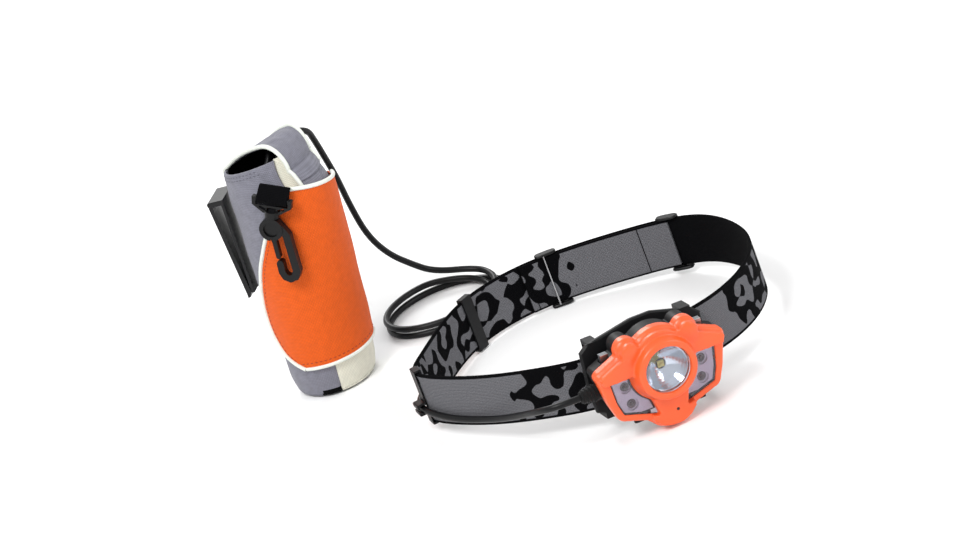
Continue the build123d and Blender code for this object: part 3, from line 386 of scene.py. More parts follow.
def tube(name, points, radius, material, sides=14, taper=None):
    rings, uvs = [], []
    travelled = 0.0
    for i, (point, (_, side, other)) in enumerate(zip(points, frames_along(points))):
        if i:
            travelled += (point - points[i - 1]).length
        here = radius * (taper(i / (len(points) - 1)) if taper else 1.0)
        for k in range(sides):
            t = 2 * pi * k / sides
            rings.append(point + side * here * cos(t) + other * here * sin(t))
            uvs.append((travelled, here * t))
    grouped = [rings[i * sides:(i + 1) * sides] for i in range(len(points))]
    return rings_object(name, grouped, material, uvs)


def nurbs(name, points, radius, material):
    data = bpy.data.curves.new(name, "CURVE")
    data.dimensions = "3D"
    spline = data.splines.new("NURBS")
    spline.points.add(len(points) - 1)
    for slot, point in zip(spline.points, points):
        slot.co = (*point, 1.0)
    spline.order_u = 3
    spline.use_endpoint_u = True
    spline.resolution_u = 10
    data.bevel_depth = radius
    data.bevel_resolution = 5
    data.use_fill_caps = True
    made = bpy.data.objects.new(name, data)
    bpy.context.collection.objects.link(made)
    if material:
        data.materials.append(material)
    return made


def centre_line(points):
    """The line of a NURBS spline through a route, as points."""
    guide = nurbs("guide", points, 0.0, None)
    guide.data.bevel_depth = 0.0
    mesh = bpy.data.meshes.new_from_object(guide.evaluated_get(bpy.context.evaluated_depsgraph_get()))
    line = [v.co.copy() for v in mesh.vertices]
    bpy.data.objects.remove(guide)
    return line


# ---- the cable ----------------------------------------------------------------------------
CABLE_R = 1.9
COIL_X, COIL_Y = -29.0, 141.0
COIL_SWEEP = 785.0
COIL_STEPS = 31


def coil_height(turned):
    """The upper turn lies on the lower one; each drops over its first 60 degrees."""
    if turned < 60:
        return 10.6 - 3.8 * turned / 60
    if turned < 350:
        return 6.8
    if turned < 420:
        return 6.8 - 4.8 * (turned - 350) / 70
    if turned < 740:
        return 2.0
    return 2.0 + 2.2 * (turned - 740) / 45


def coil_points():
    points = []
    for k in range(1, COIL_STEPS):
        turned = COIL_SWEEP * k / COIL_STEPS
        angle = radians(50.0 - turned)
        wide = 35.4 + 0.7 * sin(radians(turned * 1.3)) if turned < 330 else 31.2 + 5.4 * (turned - 330) / 455
        deep = wide - 6.6
        points.append((COIL_X + wide * cos(angle), COIL_Y + deep * sin(angle), coil_height(turned)))
    return points


POUCH_RUN = [
    (-78.72, 138.35, 143.95), (-68.8, 142.16, 141.1), (-65.0, 147.0, 129.5), (-61.8, 150.0, 116.0),
    (-58.3, 153.2, 100.0), (-55.5, 157.5, 81.0), (-51.5, 159.5, 58.0), (-42.5, 162.5, 39.5),
    (-30.0, 164.4, 25.3), (-18.5, 163.6, 14.6),
]
CLIP_RUN = [(9.3, 133.0, 4.5), (9.5, 116.0, 4.5), (0.0, 98.0, 8.0), (-19.85, 85.7, 13.2),
            (-34.09, 78.44, 13.77)]
LEAD_RUN = [
    (-54.47, -99.8, 32.87), (-67.97, -98.62, 34.05), (-74.4, -86.0, 30.4), (-77.0, -69.0, 24.0),
    (-82.2, -51.0, 18.6), (-88.4, -35.3, 16.0), (-94.8, -22.1, 15.2), (-99.6, -10.1, 15.3),
    (-102.41, -0.35, 15.95), (-103.27, 6.6, 16.21), (-102.46, 13.33, 16.28), (-99.7, 19.57, 16.09),
    (-94.72, 26.19, 15.97), (-87.65, 33.8, 15.77), (-78.55, 43.42, 15.32), (-68.51, 53.66, 14.81),
    (-56.61, 64.48, 14.36), (-45.11, 72.83, 14.21), (-34.09, 78.44, 13.77),
]


def make_cables():
    route = [at(*p) for p in POUCH_RUN + coil_points() + CLIP_RUN]
    free = nurbs("free_cable", route, CABLE_R * MM, MATERIALS["cable_rubber"])
    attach(free, "root")
    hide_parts("cable_pouch_run", "cable_coil", "cable_clip_run")
    line = centre_line([at(*p) for p in LEAD_RUN])
    held = tube("held_cable", line, CABLE_R * MM, MATERIALS["cable_rubber"])
    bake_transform(held)
    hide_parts("cable_lead", "cable_on_strap")


# ---- head strap ---------------------------------------------------------------------------
STRAP_LOOP = [
    (-16, -92.6), (-40, -90), (-58, -71), (-71, -56), (-85, -36), (-98, -7), (-102, 13), (-86, 29), (-64, 53),
    (-40, 73), (-12, 81), (18, 77), (51, 59), (86, 36), (99, 8), (95, -44), (68, -80), (37, -95), (11, -94.8),
]
PLAIN_PLACES = [(3.1, 5.7), (11.3, 13.1), (16.7, 17.8)]   # stretches of the strap with no pattern
HEM_U, SLIDER_RIGHT_U = 10.45, 12.95


def strap_point(u, offset=0.0):
    count = len(STRAP_LOOP)
    first = floor(u)
    t = u - first
    weights = [(1 - t) ** 3, 3 * t**3 - 6 * t**2 + 4, -3 * t**3 + 3 * t**2 + 3 * t + 1, t**3]
    slopes = [-((1 - t) ** 2), 3 * t**2 - 4 * t, -3 * t**2 + 2 * t + 1, t**2]
    near = [STRAP_LOOP[(first - 1 + k) % count] for k in range(4)]
    x = sum(w * p[0] for w, p in zip(weights, near)) / 6
    y = sum(w * p[1] for w, p in zip(weights, near)) / 6
    dx = sum(w * p[0] for w, p in zip(slopes, near))
    dy = sum(w * p[1] for w, p in zip(slopes, near))
    length = hypot(dx, dy)
    side = (dy / length, -dx / length)
    return x + side[0] * offset * OUT, y + side[1] * offset * OUT


def outward_sign():
    """1 if the turned-right normal points out of the loop, else -1."""
    area = sum(a[0] * b[1] - b[0] * a[1] for a, b in zip(STRAP_LOOP, STRAP_LOOP[1:] + STRAP_LOOP[:1]))
    return 1 if area > 0 else -1


OUT = outward_sign()


def lay_point(x, y, z):
    dy = y - 75.0
    a = radians(-4.5)
    return at(x, 75.0 + dy * cos(a) - z * sin(a), 2.0 + dy * sin(a) + z * cos(a))


def strap_section(low, high, near, far):
    """Flat webbing section with rounded selvedges: pairs of offset and height."""
    middle = (near + far) / 2
    half = (far - near) / 2
    heights = [low + 0.45 + (high - low - 0.9) * i / 12 for i in range(13)]
    ring = [(far, h) for h in heights]
    ring += [(middle + half * 0.7, high - 0.12), (middle, high), (middle - half * 0.7, high - 0.12)]
    ring += [(near, h) for h in reversed(heights)]
    ring += [(middle - half * 0.7, low + 0.12), (middle, low), (middle + half * 0.7, low + 0.12)]
    return ring


def plain_at(u):
    for start, end in PLAIN_PLACES:
        if start < u < end:
            return min(1.0, (u - start) / 0.25, (end - u) / 0.25)
    return 0.0


def strap_mesh(name, stations, section, closed):
    rings, uvs, plain = [], [], []
    travelled = 0.0
    before = None
    for u in stations:
        here = strap_point(u)
        if before:
            travelled += hypot(here[0] - before[0], here[1] - before[1])
        before = here
        ring = []
        for offset, height in section:
            x, y = strap_point(u, offset)
            ring.append(lay_point(x, y, height))
            uvs.append((travelled * MM, height * MM))
            plain.append(plain_at(u) * 0.6)
        rings.append(ring)
    made = rings_object(name, rings, MATERIALS["webbing"], uvs, closed=closed)
    attribute = made.data.attributes.new("plain", "FLOAT", "POINT")
    for index, value in enumerate(plain):
        attribute.data[index].value = value
    return made


def make_strap():
    section = strap_section(0.0, 30.0, -0.8, 0.8)
    stations = [19.0 * i / 228 for i in range(228)]
    band = strap_mesh("strap_webbing", stations, section, True)
    band.data.materials.append(MATERIALS["black_webbing"])
    size = len(section)
    for face in band.data.polygons:
        members = [v % size for v in face.vertices]
        u = stations[min(face.vertices) // size]
        if min(members) >= 15 and max(members) <= 29 and SLIDER_RIGHT_U - 0.1 < u < 18.6:
            face.material_index = 1
    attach(band, "root")
    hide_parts("strap_band")
    section = strap_section(0.4, 29.6, -2.55, -1.05)
    stations = [HEM_U + (SLIDER_RIGHT_U - HEM_U) * i / 40 for i in range(41)]
    tail = strap_mesh("strap_doubled", stations, section, False)
    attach(tail, "root")
    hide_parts("strap_tail")
    for index, u in enumerate((HEM_U + 0.12, 12.45)):
        line = []
        for k in range(15):
            x, y = strap_point(u, -2.62)
            line.append(lay_point(x, y, 1.2 + 27.6 * k / 14))
        seam = tube(f"strap_bar_tack_{index}", line, 0.28 * MM, MATERIALS["black_webbing"], 6)
        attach(seam, "root")


# ---- battery pouch ------------------------------------------------------------------------
POUCH_AT = (-107.3, 127.9)
POUCH_LEAN = (0.06, -0.01)
U_AXIS = Vector((sin(radians(21)), -cos(radians(21)), 0))
V_AXIS = Vector((cos(radians(21)), sin(radians(21)), 0))
SECTIONS = [
    (0, 22.5, 22.5, 0), (8, 25, 25, 0), (40, 27.5, 26.5, 0), (90, 31, 27, 0), (122, 34.8, 24.8, 0),
    (138, 28.6, 22, -5.4), (150, 27.5, 19, -5.4),
]
FLAP_SECTIONS = SECTIONS[:5] + [(129, 35.6, 24.3, 0)]


def section_at(z, sections):
    for low, high in zip(sections, sections[1:]):
        if z <= high[0]:
            t = (z - low[0]) / (high[0] - low[0])
            return [a + (b - a) * t for a, b in zip(low[1:], high[1:])]
    return list(sections[-1][1:])


def soft_section(z, sections, reach=5.0):
    """The section at a height, with the corners of the sleeve's outline rounded off."""
    total = [0.0, 0.0, 0.0]
    for k in range(-2, 3):
        low, high = sections[0][0], sections[-1][0]
        values = section_at(min(max(z + k * reach / 2, low), high), sections)
        total = [a + b / 5 for a, b in zip(total, values)]
    return total


def uvz(u, v, z):
    """Point at a place across the pouch, its depth and its height."""
    x = POUCH_AT[0] + POUCH_LEAN[0] * z + U_AXIS.x * u + V_AXIS.x * v
    y = POUCH_AT[1] + POUCH_LEAN[1] * z + U_AXIS.y * u + V_AXIS.y * v
    return at(x, y, z)


def crease(angle, z, size):
    """Gentle unevenness of filled cloth, in millimetres."""
    t = radians(angle)
    spot = Vector((cos(t) * 1.3, sin(t) * 1.3, z / 26.0))
    fold = noise.noise(spot * 1.1) * 0.9 + noise.noise(spot * 2.7 + Vector((3, 1, 7))) * 0.45
    return fold * size


def pouch_point(angle, z, grow=0.0, sections=SECTIONS, rough=0.5):
    a, b, shift = soft_section(z, sections)
    t = radians(angle)
    swell = grow + crease(angle, z, rough)
    return uvz(shift + (a + swell) * cos(t), (b + swell) * sin(t), z)


def pouch_arc(angle, z):
    a, b, _ = section_at(z, SECTIONS)
    return radians(angle) * (a + b) / 2 * MM


def seam_dip(angle, start, end):
    """Panels pull in towards the seams at their sides."""
    near = min(angle - start, end - angle)
    return -0.75 * max(0.0, 1.0 - near / 5.0) ** 2


def fold_dip(angle, z):
    """The cream fold beside the mouth lies behind the front panel."""
    if z < 117 or not -37.9 < angle < -20:
        return 0.0
    share = min(1.0, (z - 117) / 14)
    return -1.6 * share * min(1.0, (-20 - angle) / 6)


def hem_height(u):
    return 136.5 + 0.2 * (u + 30.0)


def top_of(angle):
    """Top edge of the sleeve: a sloping hem in front, level behind."""
    a, b, shift = section_at(137, SECTIONS)
    t = radians(angle)
    u, v = shift + a * cos(t), b * sin(t)
    return min(hem_height(u), 148.0) if v < -8.0 else 136.0


PANELS = {
    "front": ("pouch_front_panel", -150.0, -38.0, "grey_cloth"),
    "side": ("pouch_side_panel", -38.0, 62.0, "cream_cloth"),
    "back": ("pouch_back_panel", 62.0, 210.0, "black_cloth"),
}


def place_on_pouch(point):
    """Angle round the pouch and height of a point."""
    z = point.z / MM
    x = point.x / MM - 20 - POUCH_AT[0] - POUCH_LEAN[0] * z
    y = point.y / MM + 20 - POUCH_AT[1] - POUCH_LEAN[1] * z
    a, b, shift = section_at(z, SECTIONS)
    u = x * U_AXIS.x + y * U_AXIS.y - shift
    v = x * V_AXIS.x + y * V_AXIS.y
    return degrees(atan2(v / b, u / a)), z


def cloth_at(key, point):
    angle, z = place_on_pouch(point)
    if key == "side" and angle < -20 and z > 117:
        return "cream_cloth"
    if key == "back":
        return "black_cloth" if 95 < angle or angle < -150 else "grey_cloth"
    if key == "side":
        return "grey_cloth" if z > 110 else "cream_cloth"
    return "black_cloth" if -66 < angle < -38 and z < 5.5 else "grey_cloth"


def make_panel(key):
    replaced, start, end, slot = PANELS[key]
    columns = ceil((end - start) / 2.5)
    rows = 74
    outer, inner, uvs = [], [], []
    for r in range(rows + 1):
        outer_row, inner_row, uv_row = [], [], []
        for c in range(columns + 1):
            angle = start + 0.15 + (end - start - 0.3) * c / columns
            z = 3.0 + (top_of(angle) - 3.0) * r / rows
            dip = seam_dip(angle, start, end) + fold_dip(angle, z)
            outer_row.append(pouch_point(angle, z, dip))
            inner_row.append(pouch_point(angle, z, dip - 1.3))
            uv_row.append((pouch_arc(angle, z), z * MM))
        outer.append(outer_row)
        inner.append(inner_row)
        uvs.append(uv_row)
    panel = grid_shell(f"pouch_{key}_cloth", outer, inner, MATERIALS[slot], uvs)
    colours = ["grey_cloth", "cream_cloth", "black_cloth"]
    panel.data.materials.clear()
    for colour in colours:
        panel.data.materials.append(MATERIALS[colour])
    for face in panel.data.polygons:
        face.material_index = colours.index(cloth_at(key, face.center))
    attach(panel, "root")
    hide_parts(replaced)


def make_base():
    """Bottom of the pouch: a rounded cup, in black cloth."""
    outer, inner, uvs = [], [], []
    for r in range(9):
        t = r / 8
        outer_row, inner_row, uv_row = [], [], []
        for c in range(96):
            angle = 360.0 * c / 96
            a, b, _ = section_at(3.0, SECTIONS)
            turn = radians(angle)
            scale = sin(t * pi / 2) ** 0.55
            z = 0.15 + 2.75 * t**3
            outer_row.append(uvz(a * scale * cos(turn), b * scale * sin(turn), z))
            inset = scale * 0.95
            inner_row.append(uvz(a * inset * cos(turn), b * inset * sin(turn), min(z + 1.2, 2.9)))
            uv_row.append((a * scale * cos(turn) * MM, b * scale * sin(turn) * MM))
        outer.append(outer_row)
        inner.append(inner_row)
        uvs.append(uv_row)
    base = grid_shell("pouch_bottom", outer[1:], inner[1:], MATERIALS["black_cloth"], uvs[1:], wrap=True)
    middle = bmesh.new()
    middle.from_mesh(base.data)
    bmesh.ops.holes_fill(middle, edges=[e for e in middle.edges if e.is_boundary])
    middle.to_mesh(base.data)
    middle.free()
    colours = ["black_cloth", "grey_cloth", "cream_cloth"]
    for colour in colours[1:]:
        base.data.materials.append(MATERIALS[colour])
    for face in base.data.polygons:
        angle = place_on_pouch(face.center)[0]
        if face.center.z > 0.0007 and (angle < -66 or angle > 62):
            face.material_index = 1
        elif face.center.z > 0.0007 and angle > -38:
            face.material_index = 2
    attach(base, "root")
    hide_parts("pouch_base")


FLAP_EDGE = [
    (17, 16), (21.4, 8), (24, 1.5), (28, -4.0), (36, -10.0), (46, -13.2), (58, -12.4), (72, -8.2), (84, -3.5),
    (103, 6.5),
    (124, 19.2), (134, 25),
]
FLAP_LOW, FLAP_HIGH = 22.0, 132.0
FLAP_END = 51.5


def flap_edge_at(z):
    """How far across the pouch the flap's free edge lies, eased between its corners."""
    total = 0.0
    for k in range(-3, 4):
        h = min(max(z + 2.0 * k, 17), 134)
        for (z0, u0), (z1, u1) in zip(FLAP_EDGE, FLAP_EDGE[1:]):
            if z0 <= h <= z1:
                total += (u0 + (u1 - u0) * (h - z0) / (z1 - z0)) / 7
                break
    return total


def flap_start(z, inset=0.0):
    a, _, _ = soft_section(z, FLAP_SECTIONS)
    return -degrees(acos((flap_edge_at(z) + inset) / (a + 1.5)))


def flap_point(angle, z, grow):
    return pouch_point(angle, z, grow, FLAP_SECTIONS, 0.45)


def flap_grow(share, z):
    """The flap lies close at its seam and bellies a little in the middle."""
    return 0.75 + 0.5 * sin(pi * share) * sin(pi * (z - FLAP_LOW) / (FLAP_HIGH - FLAP_LOW))


def flap_level(level, angle):
    """The flap's upper edge slopes down to its seam."""
    share = (level - FLAP_LOW) / (FLAP_HIGH - FLAP_LOW)
    drop = 10.0 * max(0.0, (angle + 47.0) / 98.5)
    return level - drop * share**3


def make_flap():
    rows, columns = 64, 60
    outer, inner, uvs = [], [], []
    for r in range(rows + 1):
        level = FLAP_LOW + (FLAP_HIGH - FLAP_LOW) * r / rows
        outer_row, inner_row, uv_row = [], [], []
        first = flap_start(level)
        for c in range(columns + 1):
            share = c / columns
            angle = first + (FLAP_END - first) * share
            z = flap_level(level, angle)
            near = flap_grow(share, z)
            outer_row.append(flap_point(angle, z, near + 1.1))
            inner_row.append(flap_point(angle, z, near))
            uv_row.append((pouch_arc(angle, 80), z * MM))
        outer.append(outer_row)
        inner.append(inner_row)
        uvs.append(uv_row)
    flap = grid_shell("flap_cloth", outer, inner, MATERIALS["orange_cloth"], uvs)
    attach(flap, "flap")
    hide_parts("flap")
    outer, inner, uvs = [], [], []
    for r in range(41):
        level = FLAP_LOW - 0.5 + (FLAP_HIGH - FLAP_LOW + 0.5) * r / 40
        angles = spread(FLAP_END + 0.6, FLAP_END + 8, 6)
        heights = [flap_level(level, FLAP_END) for a in angles]
        outer.append([flap_point(a, z, 1.7 - 0.25 * k) for k, (a, z) in enumerate(zip(angles, heights))])
        inner.append([flap_point(a, z, 0.1) for a, z in zip(angles, heights)])
        uvs.append([(pouch_arc(a, 80), z * MM) for a, z in zip(angles, heights)])
    strip = grid_shell("flap_seam_cloth", outer, inner, MATERIALS["orange_cloth"], uvs)
    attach(strip, "root")
    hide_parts("flap_seam")
    steps = 80
    side = [flap_point(flap_start(z), z, 2.0) for z in spread(FLAP_LOW - 0.6, FLAP_HIGH, steps)]
    low = [flap_point(a, FLAP_LOW - 0.6, 1.5)
           for a in spread(flap_start(FLAP_LOW - 0.6) + 1, FLAP_END, steps)]
    top = [flap_point(a, flap_level(FLAP_HIGH, a) + 0.5, 1.6)
           for a in spread(flap_start(FLAP_HIGH), FLAP_END, steps)]
    pieces = [("flap_piping_side", side, "flap_binding_free"), ("flap_piping_low", low, "flap_bindings"),
              ("flap_piping_top", top, None)]
    for name, line, replaced in pieces:
        piping = tube(name, line, 1.2 * MM, MATERIALS["piping"], 12)
        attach(piping, "flap")
        if replaced:
            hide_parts(replaced)
    side = [flap_point(flap_start(z, 3.4), z, flap_grow(0.05, z) + 1.15) for z in spread(26, 122, 120)]
    low = [flap_point(a, FLAP_LOW + 3.0, flap_grow(0.5, FLAP_LOW + 3) + 1.15)
           for a in spread(flap_start(FLAP_LOW + 3, 3.4), FLAP_END - 3, 110)]
    make_stitches("flap_stitches", [side, low], THREAD, "flap")


def spread(start, end, steps):
    return [start + (end - start) * i / steps for i in range(steps + 1)]


def make_stitches(name, lines, material, body, length=1.7, gap=1.1, radius=0.28):
    """Rows of short raised threads along lines on a cloth's face."""
    verts, faces = [], []
    for line in lines:
        travelled = [0.0]
        for a, b in zip(line, line[1:]):
            travelled.append(travelled[-1] + (b - a).length / MM)
        place = gap
        while place + length < travelled[-1]:
            ends = []
            for distance in (place, place + length / 2, place + length):
                i = max(k for k, d in enumerate(travelled) if d <= distance)
                i = min(i, len(line) - 2)
                t = (distance - travelled[i]) / max(travelled[i + 1] - travelled[i], 1e-6)
                ends.append(line[i].lerp(line[i + 1], t))
            tangent = (ends[2] - ends[0]).normalized()
            side = tangent.orthogonal().normalized()
            other = tangent.cross(side)
            first = len(verts)
            for share, thick in ((0, 0.3), (1, 1.0), (2, 0.3)):
                for k in range(6):
                    t = pi * k / 3
                    verts.append(ends[share] + (side * cos(t) + other * sin(t)) * radius * thick * MM)
            for r in range(2):
                for k in range(6):
                    a, b = first + r * 6 + k, first + r * 6 + (k + 1) % 6
                    faces.append((a, b, b + 6, a + 6))
            faces.append(tuple(first + k for k in range(6)))
            faces.append(tuple(first + 12 + k for k in reversed(range(6))))
            place += length + gap
    stitches = mesh_object(name, verts, faces, material, [(v.x, v.z) for v in verts])
    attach(stitches, body)


# ---- hood ---------------------------------------------------------------------------------
HOOD_FRONT, HOOD_BACK = -8.0, 17.0


def arc_through(a, b, c, steps):
    """Points of the circular arc from a through b to c."""
    (ax, ay), (bx, by), (cx, cy) = a, b, c
    d = 2 * (ax * (by - cy) + bx * (cy - ay) + cx * (ay - by))
    ux = ((ax**2 + ay**2) * (by - cy) + (bx**2 + by**2) * (cy - ay) + (cx**2 + cy**2) * (ay - by)) / d
    uy = ((ax**2 + ay**2) * (cx - bx) + (bx**2 + by**2) * (ax - cx) + (cx**2 + cy**2) * (bx - ax)) / d
    radius = hypot(ax - ux, ay - uy)
    first, last = atan2(ay - uy, ax - ux), atan2(cy - uy, cx - ux)
    if last > first:
        last -= 2 * pi
    return [(ux + radius * cos(t), uy + radius * sin(t)) for t in spread(first, last, steps)]


def arch(inset=0.0, drop=0.0):
    """The hood's arch from its left foot over the crown to its right foot."""
    left = (-31.6 + inset, 136.3)
    crown = (4.0, 152.2 - inset - drop)
    right = (21.8 - inset, 137.0)
    line = arc_through(left, (-13.0 + 0.4 * inset, 147.2 - inset - drop), crown, 30)
    line += arc_through(crown, (16.6 - 0.7 * inset, 148.8 - 0.8 * inset - drop), right, 26)[1:]
    return line + [(right[0] + 0.05, 136.3)]


def hood_width(v):
    """How the hood narrows towards its back, as the sleeve's plan does."""
    return 1.0 if v < 0 else (1 - (v / 24.5) ** 2) ** 0.5


def hood_foot(v, z, side, grow):
    """Point of the hood's skirt, just outside the sleeve, at a depth and a height."""
    a, b, shift = soft_section(z, SECTIONS)
    share = min(0.97, abs(v) / (b + grow))
    return shift + side * (a + grow) * (1 - share**2) ** 0.5, z


def hood_line(v, inset=0.0, drop=0.0):
    """The arch at a depth, with a short skirt over the sleeve at both feet."""
    crown = [(-5.2 + (u + 5.2) * hood_width(v), z) for u, z in arch(inset, drop)][:-1]
    grow = 1.5 - inset
    left = [hood_foot(v, z, -1, grow) for z in (131.5, 133.5, 135.5)]
    right = [hood_foot(v, z, 1, grow) for z in (135.5, 133.5, 131.5)]
    return left + crown[1:-1] + right


def wall_depth(u, t, rear):
    """The end wall leans out from the rear arch to the sleeve's top edge."""
    share = min(1.0, abs((u + 5.4) / 28.6))
    edge = 23.6 * (1 - share**2) ** 0.5
    return rear + max(0.0, edge - HOOD_BACK) * (1 - t) ** 1.5


def make_hood():
    outer, inner, uvs = [], [], []
    for v in spread(HOOD_FRONT, HOOD_BACK, 24):
        share = (v - HOOD_FRONT) / (HOOD_BACK - HOOD_FRONT)
        sag = 0.5 * sin(pi * share)
        line, below = hood_line(v, 0.4, sag), hood_line(v, 1.5, sag)
        rows = []
        for j, (u, z) in enumerate(line):
            ends = min(1, max(0, j - 4) / 6, max(0, len(line) - 5 - j) / 6)
            fold = abs(noise.noise(Vector((u / 11.0, v / 8.0, z / 13.0)))) * 1.6
            fold += abs(noise.noise(Vector((u / 5.0, v / 6.0, 4.0)))) * 0.7
            rows.append(uvz(u, v, z + fold * ends * sin(pi * share) ** 0.5 - 0.2))
        outer.append(rows)
        inner.append([uvz(u, v, z - 0.2) for u, z in below])
        uvs.append([(j * 0.0013, v * MM) for j in range(len(line))])
    hood = grid_shell("hood_cloth", outer, inner, MATERIALS["grey_cloth"], uvs)
    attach(hood, "root")
    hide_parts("hood")
    line = hood_line(HOOD_BACK, 0.6)
    outer, inner, uvs = [], [], []
    for t in spread(0.0, 1.0, 14):
        row_out, row_in, uv_row = [], [], []
        for u, z in line:
            w = -4.0 + (u + 4.0) * (0.9 * (1 - t) + t)
            h = 132.0 + (z - 132.0) * t
            row_out.append(uvz(u, wall_depth(u, t, HOOD_BACK + 1.0), h))
            row_in.append(uvz(u, wall_depth(u, t, HOOD_BACK), h))
            uv_row.append((w * MM, h * MM))
        outer.append(row_out)
        inner.append(row_in)
        uvs.append(uv_row)
    wall = grid_shell("hood_end_cloth", outer, inner, MATERIALS["grey_cloth"], uvs)
    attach(wall, "root")
    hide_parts("hood_back")
    seams = []
    for v in (HOOD_BACK, HOOD_FRONT):
        line = hood_line(v, 0.3)
        if v == HOOD_FRONT:
            line += [hood_foot(v, z, 1, 0.9) for z in (129.5, 127.0, 124.5)]
        seams.append([uvz(u, v, z) for u, z in line])
    for name, line, replaced in (("hood_piping_rear", seams[0], "hood_piping_back"),
                                 ("hood_piping_mouth", seams[1], "hood_piping_front")):
        piping = tube(name, line, 1.25 * MM, MATERIALS["piping"], 12)
        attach(piping, "root")
        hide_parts(replaced)
    rows = [[pouch_point(a, top_of(a) - drop, 0.12) for a in spread(-146, -60, 90)] for drop in (1.6, 3.6)]
    make_stitches("hem_stitches", rows, GREY_THREAD, "root")


# ---- hook tab -----------------------------------------------------------------------------
HOOK_AT = (-54.0, 134.5)             # angle round the pouch, height
FLAP_FACE = 2.0                      # the flap's face over the pouch's skin
HOOK_STAND = 9.0                     # the hook's middle over the flap's face
HOOK_LEAN = -19.5
TAB_SIDE = [(1.8, -9.2), (0.2, -8.3), (-2.4, -6.8), (-4.6, -6.1), (-6.6, -5.3), (-7.3, -3.4), (-6.6, -1.5),
            (-4.6, -0.7), (-2.9, -1.4), (-1.2, -3.2), (0.5, -5.4), (2.1, -7.5)]


def hook_frame():
    """Frame of the hook: X across the flap, Y up it, Z out of its face."""
    angle, z = HOOK_AT
    face = pouch_point(angle, z, FLAP_FACE, FLAP_SECTIONS, 0.0)
    before, after = (pouch_point(a, z, 0, FLAP_SECTIONS, 0.0) for a in (angle - 1, angle + 1))
    across = after - before
    up = face - pouch_point(angle, z - 50, FLAP_FACE, FLAP_SECTIONS, 0.0)
    across.normalize()
    out = across.cross(up).normalized()
    across = Matrix.Rotation(radians(HOOK_LEAN), 3, out) @ across
    return face + out * HOOK_STAND * MM, across, out.cross(across), out


def make_hook_tab():
    """Webbing sewn to the flap's corner and folded round the loop's bar."""
    middle, across, up, out = hook_frame()
    rings, uvs = [], []
    for x in (-8.8, -8.6, -5.0, 0.0, 5.0, 8.6, 8.8):
        inset = 0.25 if abs(x) > 8.7 else 0.0
        ring = []
        for y, z in TAB_SIDE:
            near = z - inset if z > -4.5 else z + inset
            ring.append(middle + (across * x + up * y + out * near) * MM)
        rings.append(ring)
        uvs += [(x * MM, k * 0.0025) for k in range(len(TAB_SIDE))]
    slot = slots_of_nodes()["hook_tab"]
    tab = rings_object("hook_tab_webbing", rings, MATERIALS[slot], uvs)
    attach(tab, "flap")
    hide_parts("hook_tab")


# ---- sliders ------------------------------------------------------------------------------
def strap_place(u, along, offset, height):
    """Point beside the strap: along it, out from it and up it, in millimetres."""
    x, y = strap_point(u)
    ox, oy = strap_point(u, 1.0)
    nx, ny = ox - x, oy - y
    return lay_point(x - ny * along + nx * offset, y + nx * along + ny * offset, height)


def rounded_bar(u, start, end, low, high, height, thick):
    """A flat rail with round ends over the strap's edge: rings of points from its lower to its upper face."""
    rings = []
    for lift, inset in ((0.0, 0.5), (0.25, 0.12), (0.5, 0.0), (0.75, 0.12), (1.0, 0.5)):
        ring = []
        for k in range(28):
            t = 2 * pi * k / 28
            square = (abs(cos(t)) ** 0.6, abs(sin(t)) ** 0.5)
            along = (start + end) / 2 + ((end - start) / 2 - inset) * square[0] * (1 if cos(t) > 0 else -1)
            out = (low + high) / 2 + ((high - low) / 2 - inset) * square[1] * (1 if sin(t) > 0 else -1)
            ring.append(strap_place(u, along, out, height + thick * lift))
        rings.append(ring)
    return rings


def make_slider(name, u, light_bar):
    """Ladder slider: a rail over each selvedge, joined by bars behind and between the layers of webbing."""
    plastic = MATERIALS["buckle_plastic"]
    for part, height in (("upper", 30.2), ("lower", -1.75)):
        rings = rounded_bar(u, -6.5, 6.5, -3.9, 2.2, height, 1.6)
        rail = rings_object(f"{name}_{part}_rail", rings, plastic, [(0.0, 0.0)] * (len(rings) * 28))
        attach(rail, name)
        if part == "upper":
            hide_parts(name)
    bars = [(-5.2, 1.75, 0.8, plastic), (5.2, 1.75, 0.8, plastic), (0.0, 1.75, 0.8, plastic)]
    if light_bar:
        bars.append((1.5, -3.2, 0.55, MATERIALS["spring_steel"]))
    for index, (along, out, radius, material) in enumerate(bars):
        line = [strap_place(u, along, out, -0.9 + 31.6 * k / 8) for k in range(9)]
        bar = tube(f"{name}_bar_{index}", line, radius * MM, material, 12)
        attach(bar, name)


# ---- lamp and hard parts ------------------------------------------------------------------
LAMP_TURN = Matrix.Rotation(radians(-5.0), 4, "Z") @ Matrix.Rotation(radians(5.0), 4, "Y")
LAMP_FRAME = Matrix.Translation(at(-12.0, -125.0, 35.6)) @ LAMP_TURN


def bump_at(x, z, cx, cz, radius):
    """A smooth mound, 1 at its middle and 0 beyond its radius."""
    share = min(1.0, hypot(x - cx, z - cz) / radius)
    return (1 - share**2) ** 2


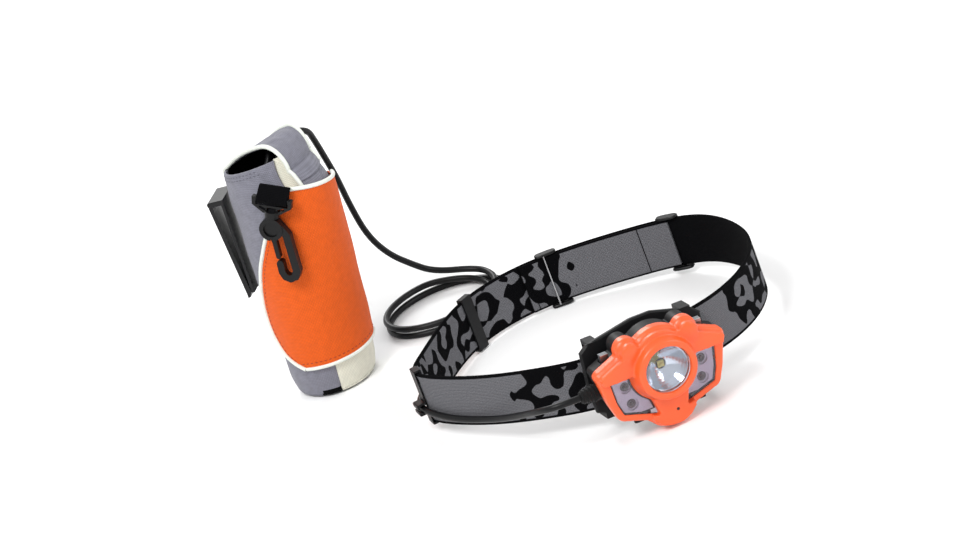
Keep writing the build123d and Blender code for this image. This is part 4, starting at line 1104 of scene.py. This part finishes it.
def make_bezel():
    """The orange shell: the CAD shape remeshed, its steps melted into moulded curves."""
    source = NODES["bezel"]
    mesh = source.data.copy()
    shell = bpy.data.objects.new("bezel_shell", mesh)
    bpy.context.collection.objects.link(shell)
    remesh = shell.modifiers.new("remesh", "REMESH")
    remesh.mode = "VOXEL"
    remesh.voxel_size = 0.00042
    smooth = shell.modifiers.new("smooth", "SMOOTH")
    smooth.factor = 0.5
    smooth.iterations = 14
    made = bpy.data.meshes.new_from_object(shell.evaluated_get(bpy.context.evaluated_depsgraph_get()))
    shell.modifiers.clear()
    shell.data = made
    back = LAMP_FRAME.inverted()
    for vertex in made.vertices:
        x, y, z = (back @ vertex.co) * 1000.0
        if y < 9.0:
            push = 0.0
            for side in (-1, 1):
                push += 1.6 * bump_at(x, z, side * 18.0, 15.0, 8.5)
            vertex.co = LAMP_FRAME @ (Vector((x, y - push, z)) * MM)
    made.shade_smooth()
    made.materials.clear()
    made.materials.append(MATERIALS["orange_shell"])
    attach(shell, "lamp")
    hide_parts("bezel")


def finish_nodes():
    """Materials, and softened edges, for the CAD nodes that stay."""
    slots = slots_of_nodes()
    rounded = {"bracket": 0.5, "rear_housing": 0.5, "slider_left": 0.35, "slider_right": 0.35,
               "cable_clip_left": 0.3, "cable_clip_rear": 0.3, "hook_loop": 0.35, "hook_body": 0.4,
               "hook_gate": 0.3, "belt_clip_base": 0.3, "belt_clip_arm": 0.35, "heatsink": 0.08,
               "button_left": 0.2, "button_right": 0.2, "cable_gland": 0.2, "cable_grommet": 0.2}
    for name, item in NODES.items():
        slot = slots.get(name, "black_plastic")
        item.data.materials.clear()
        item.data.materials.append(MATERIALS[slot])
        if name == "flood_leds":
            item.data.materials[0] = MATERIALS["flood_led"]
        if name in ("bracket", "rear_housing", "cable_clip_rear", "cable_clip_left"):
            item.data.materials[0] = DARK_PLASTIC
        if name in rounded:
            bevel = item.modifiers.new("edges", "BEVEL")
            bevel.width = rounded[name] * MM
            bevel.segments = 3
            bevel.limit_method = "ANGLE"
            bevel.angle_limit = radians(35)
            bevel.harden_normals = False


make_cables()
make_strap()
for panel_name in PANELS:
    make_panel(panel_name)
make_base()
make_flap()
make_hood()
make_hook_tab()
make_slider("slider_left", 11.0, True)
make_slider("slider_right", 12.95, False)
finish_nodes()
make_bezel()
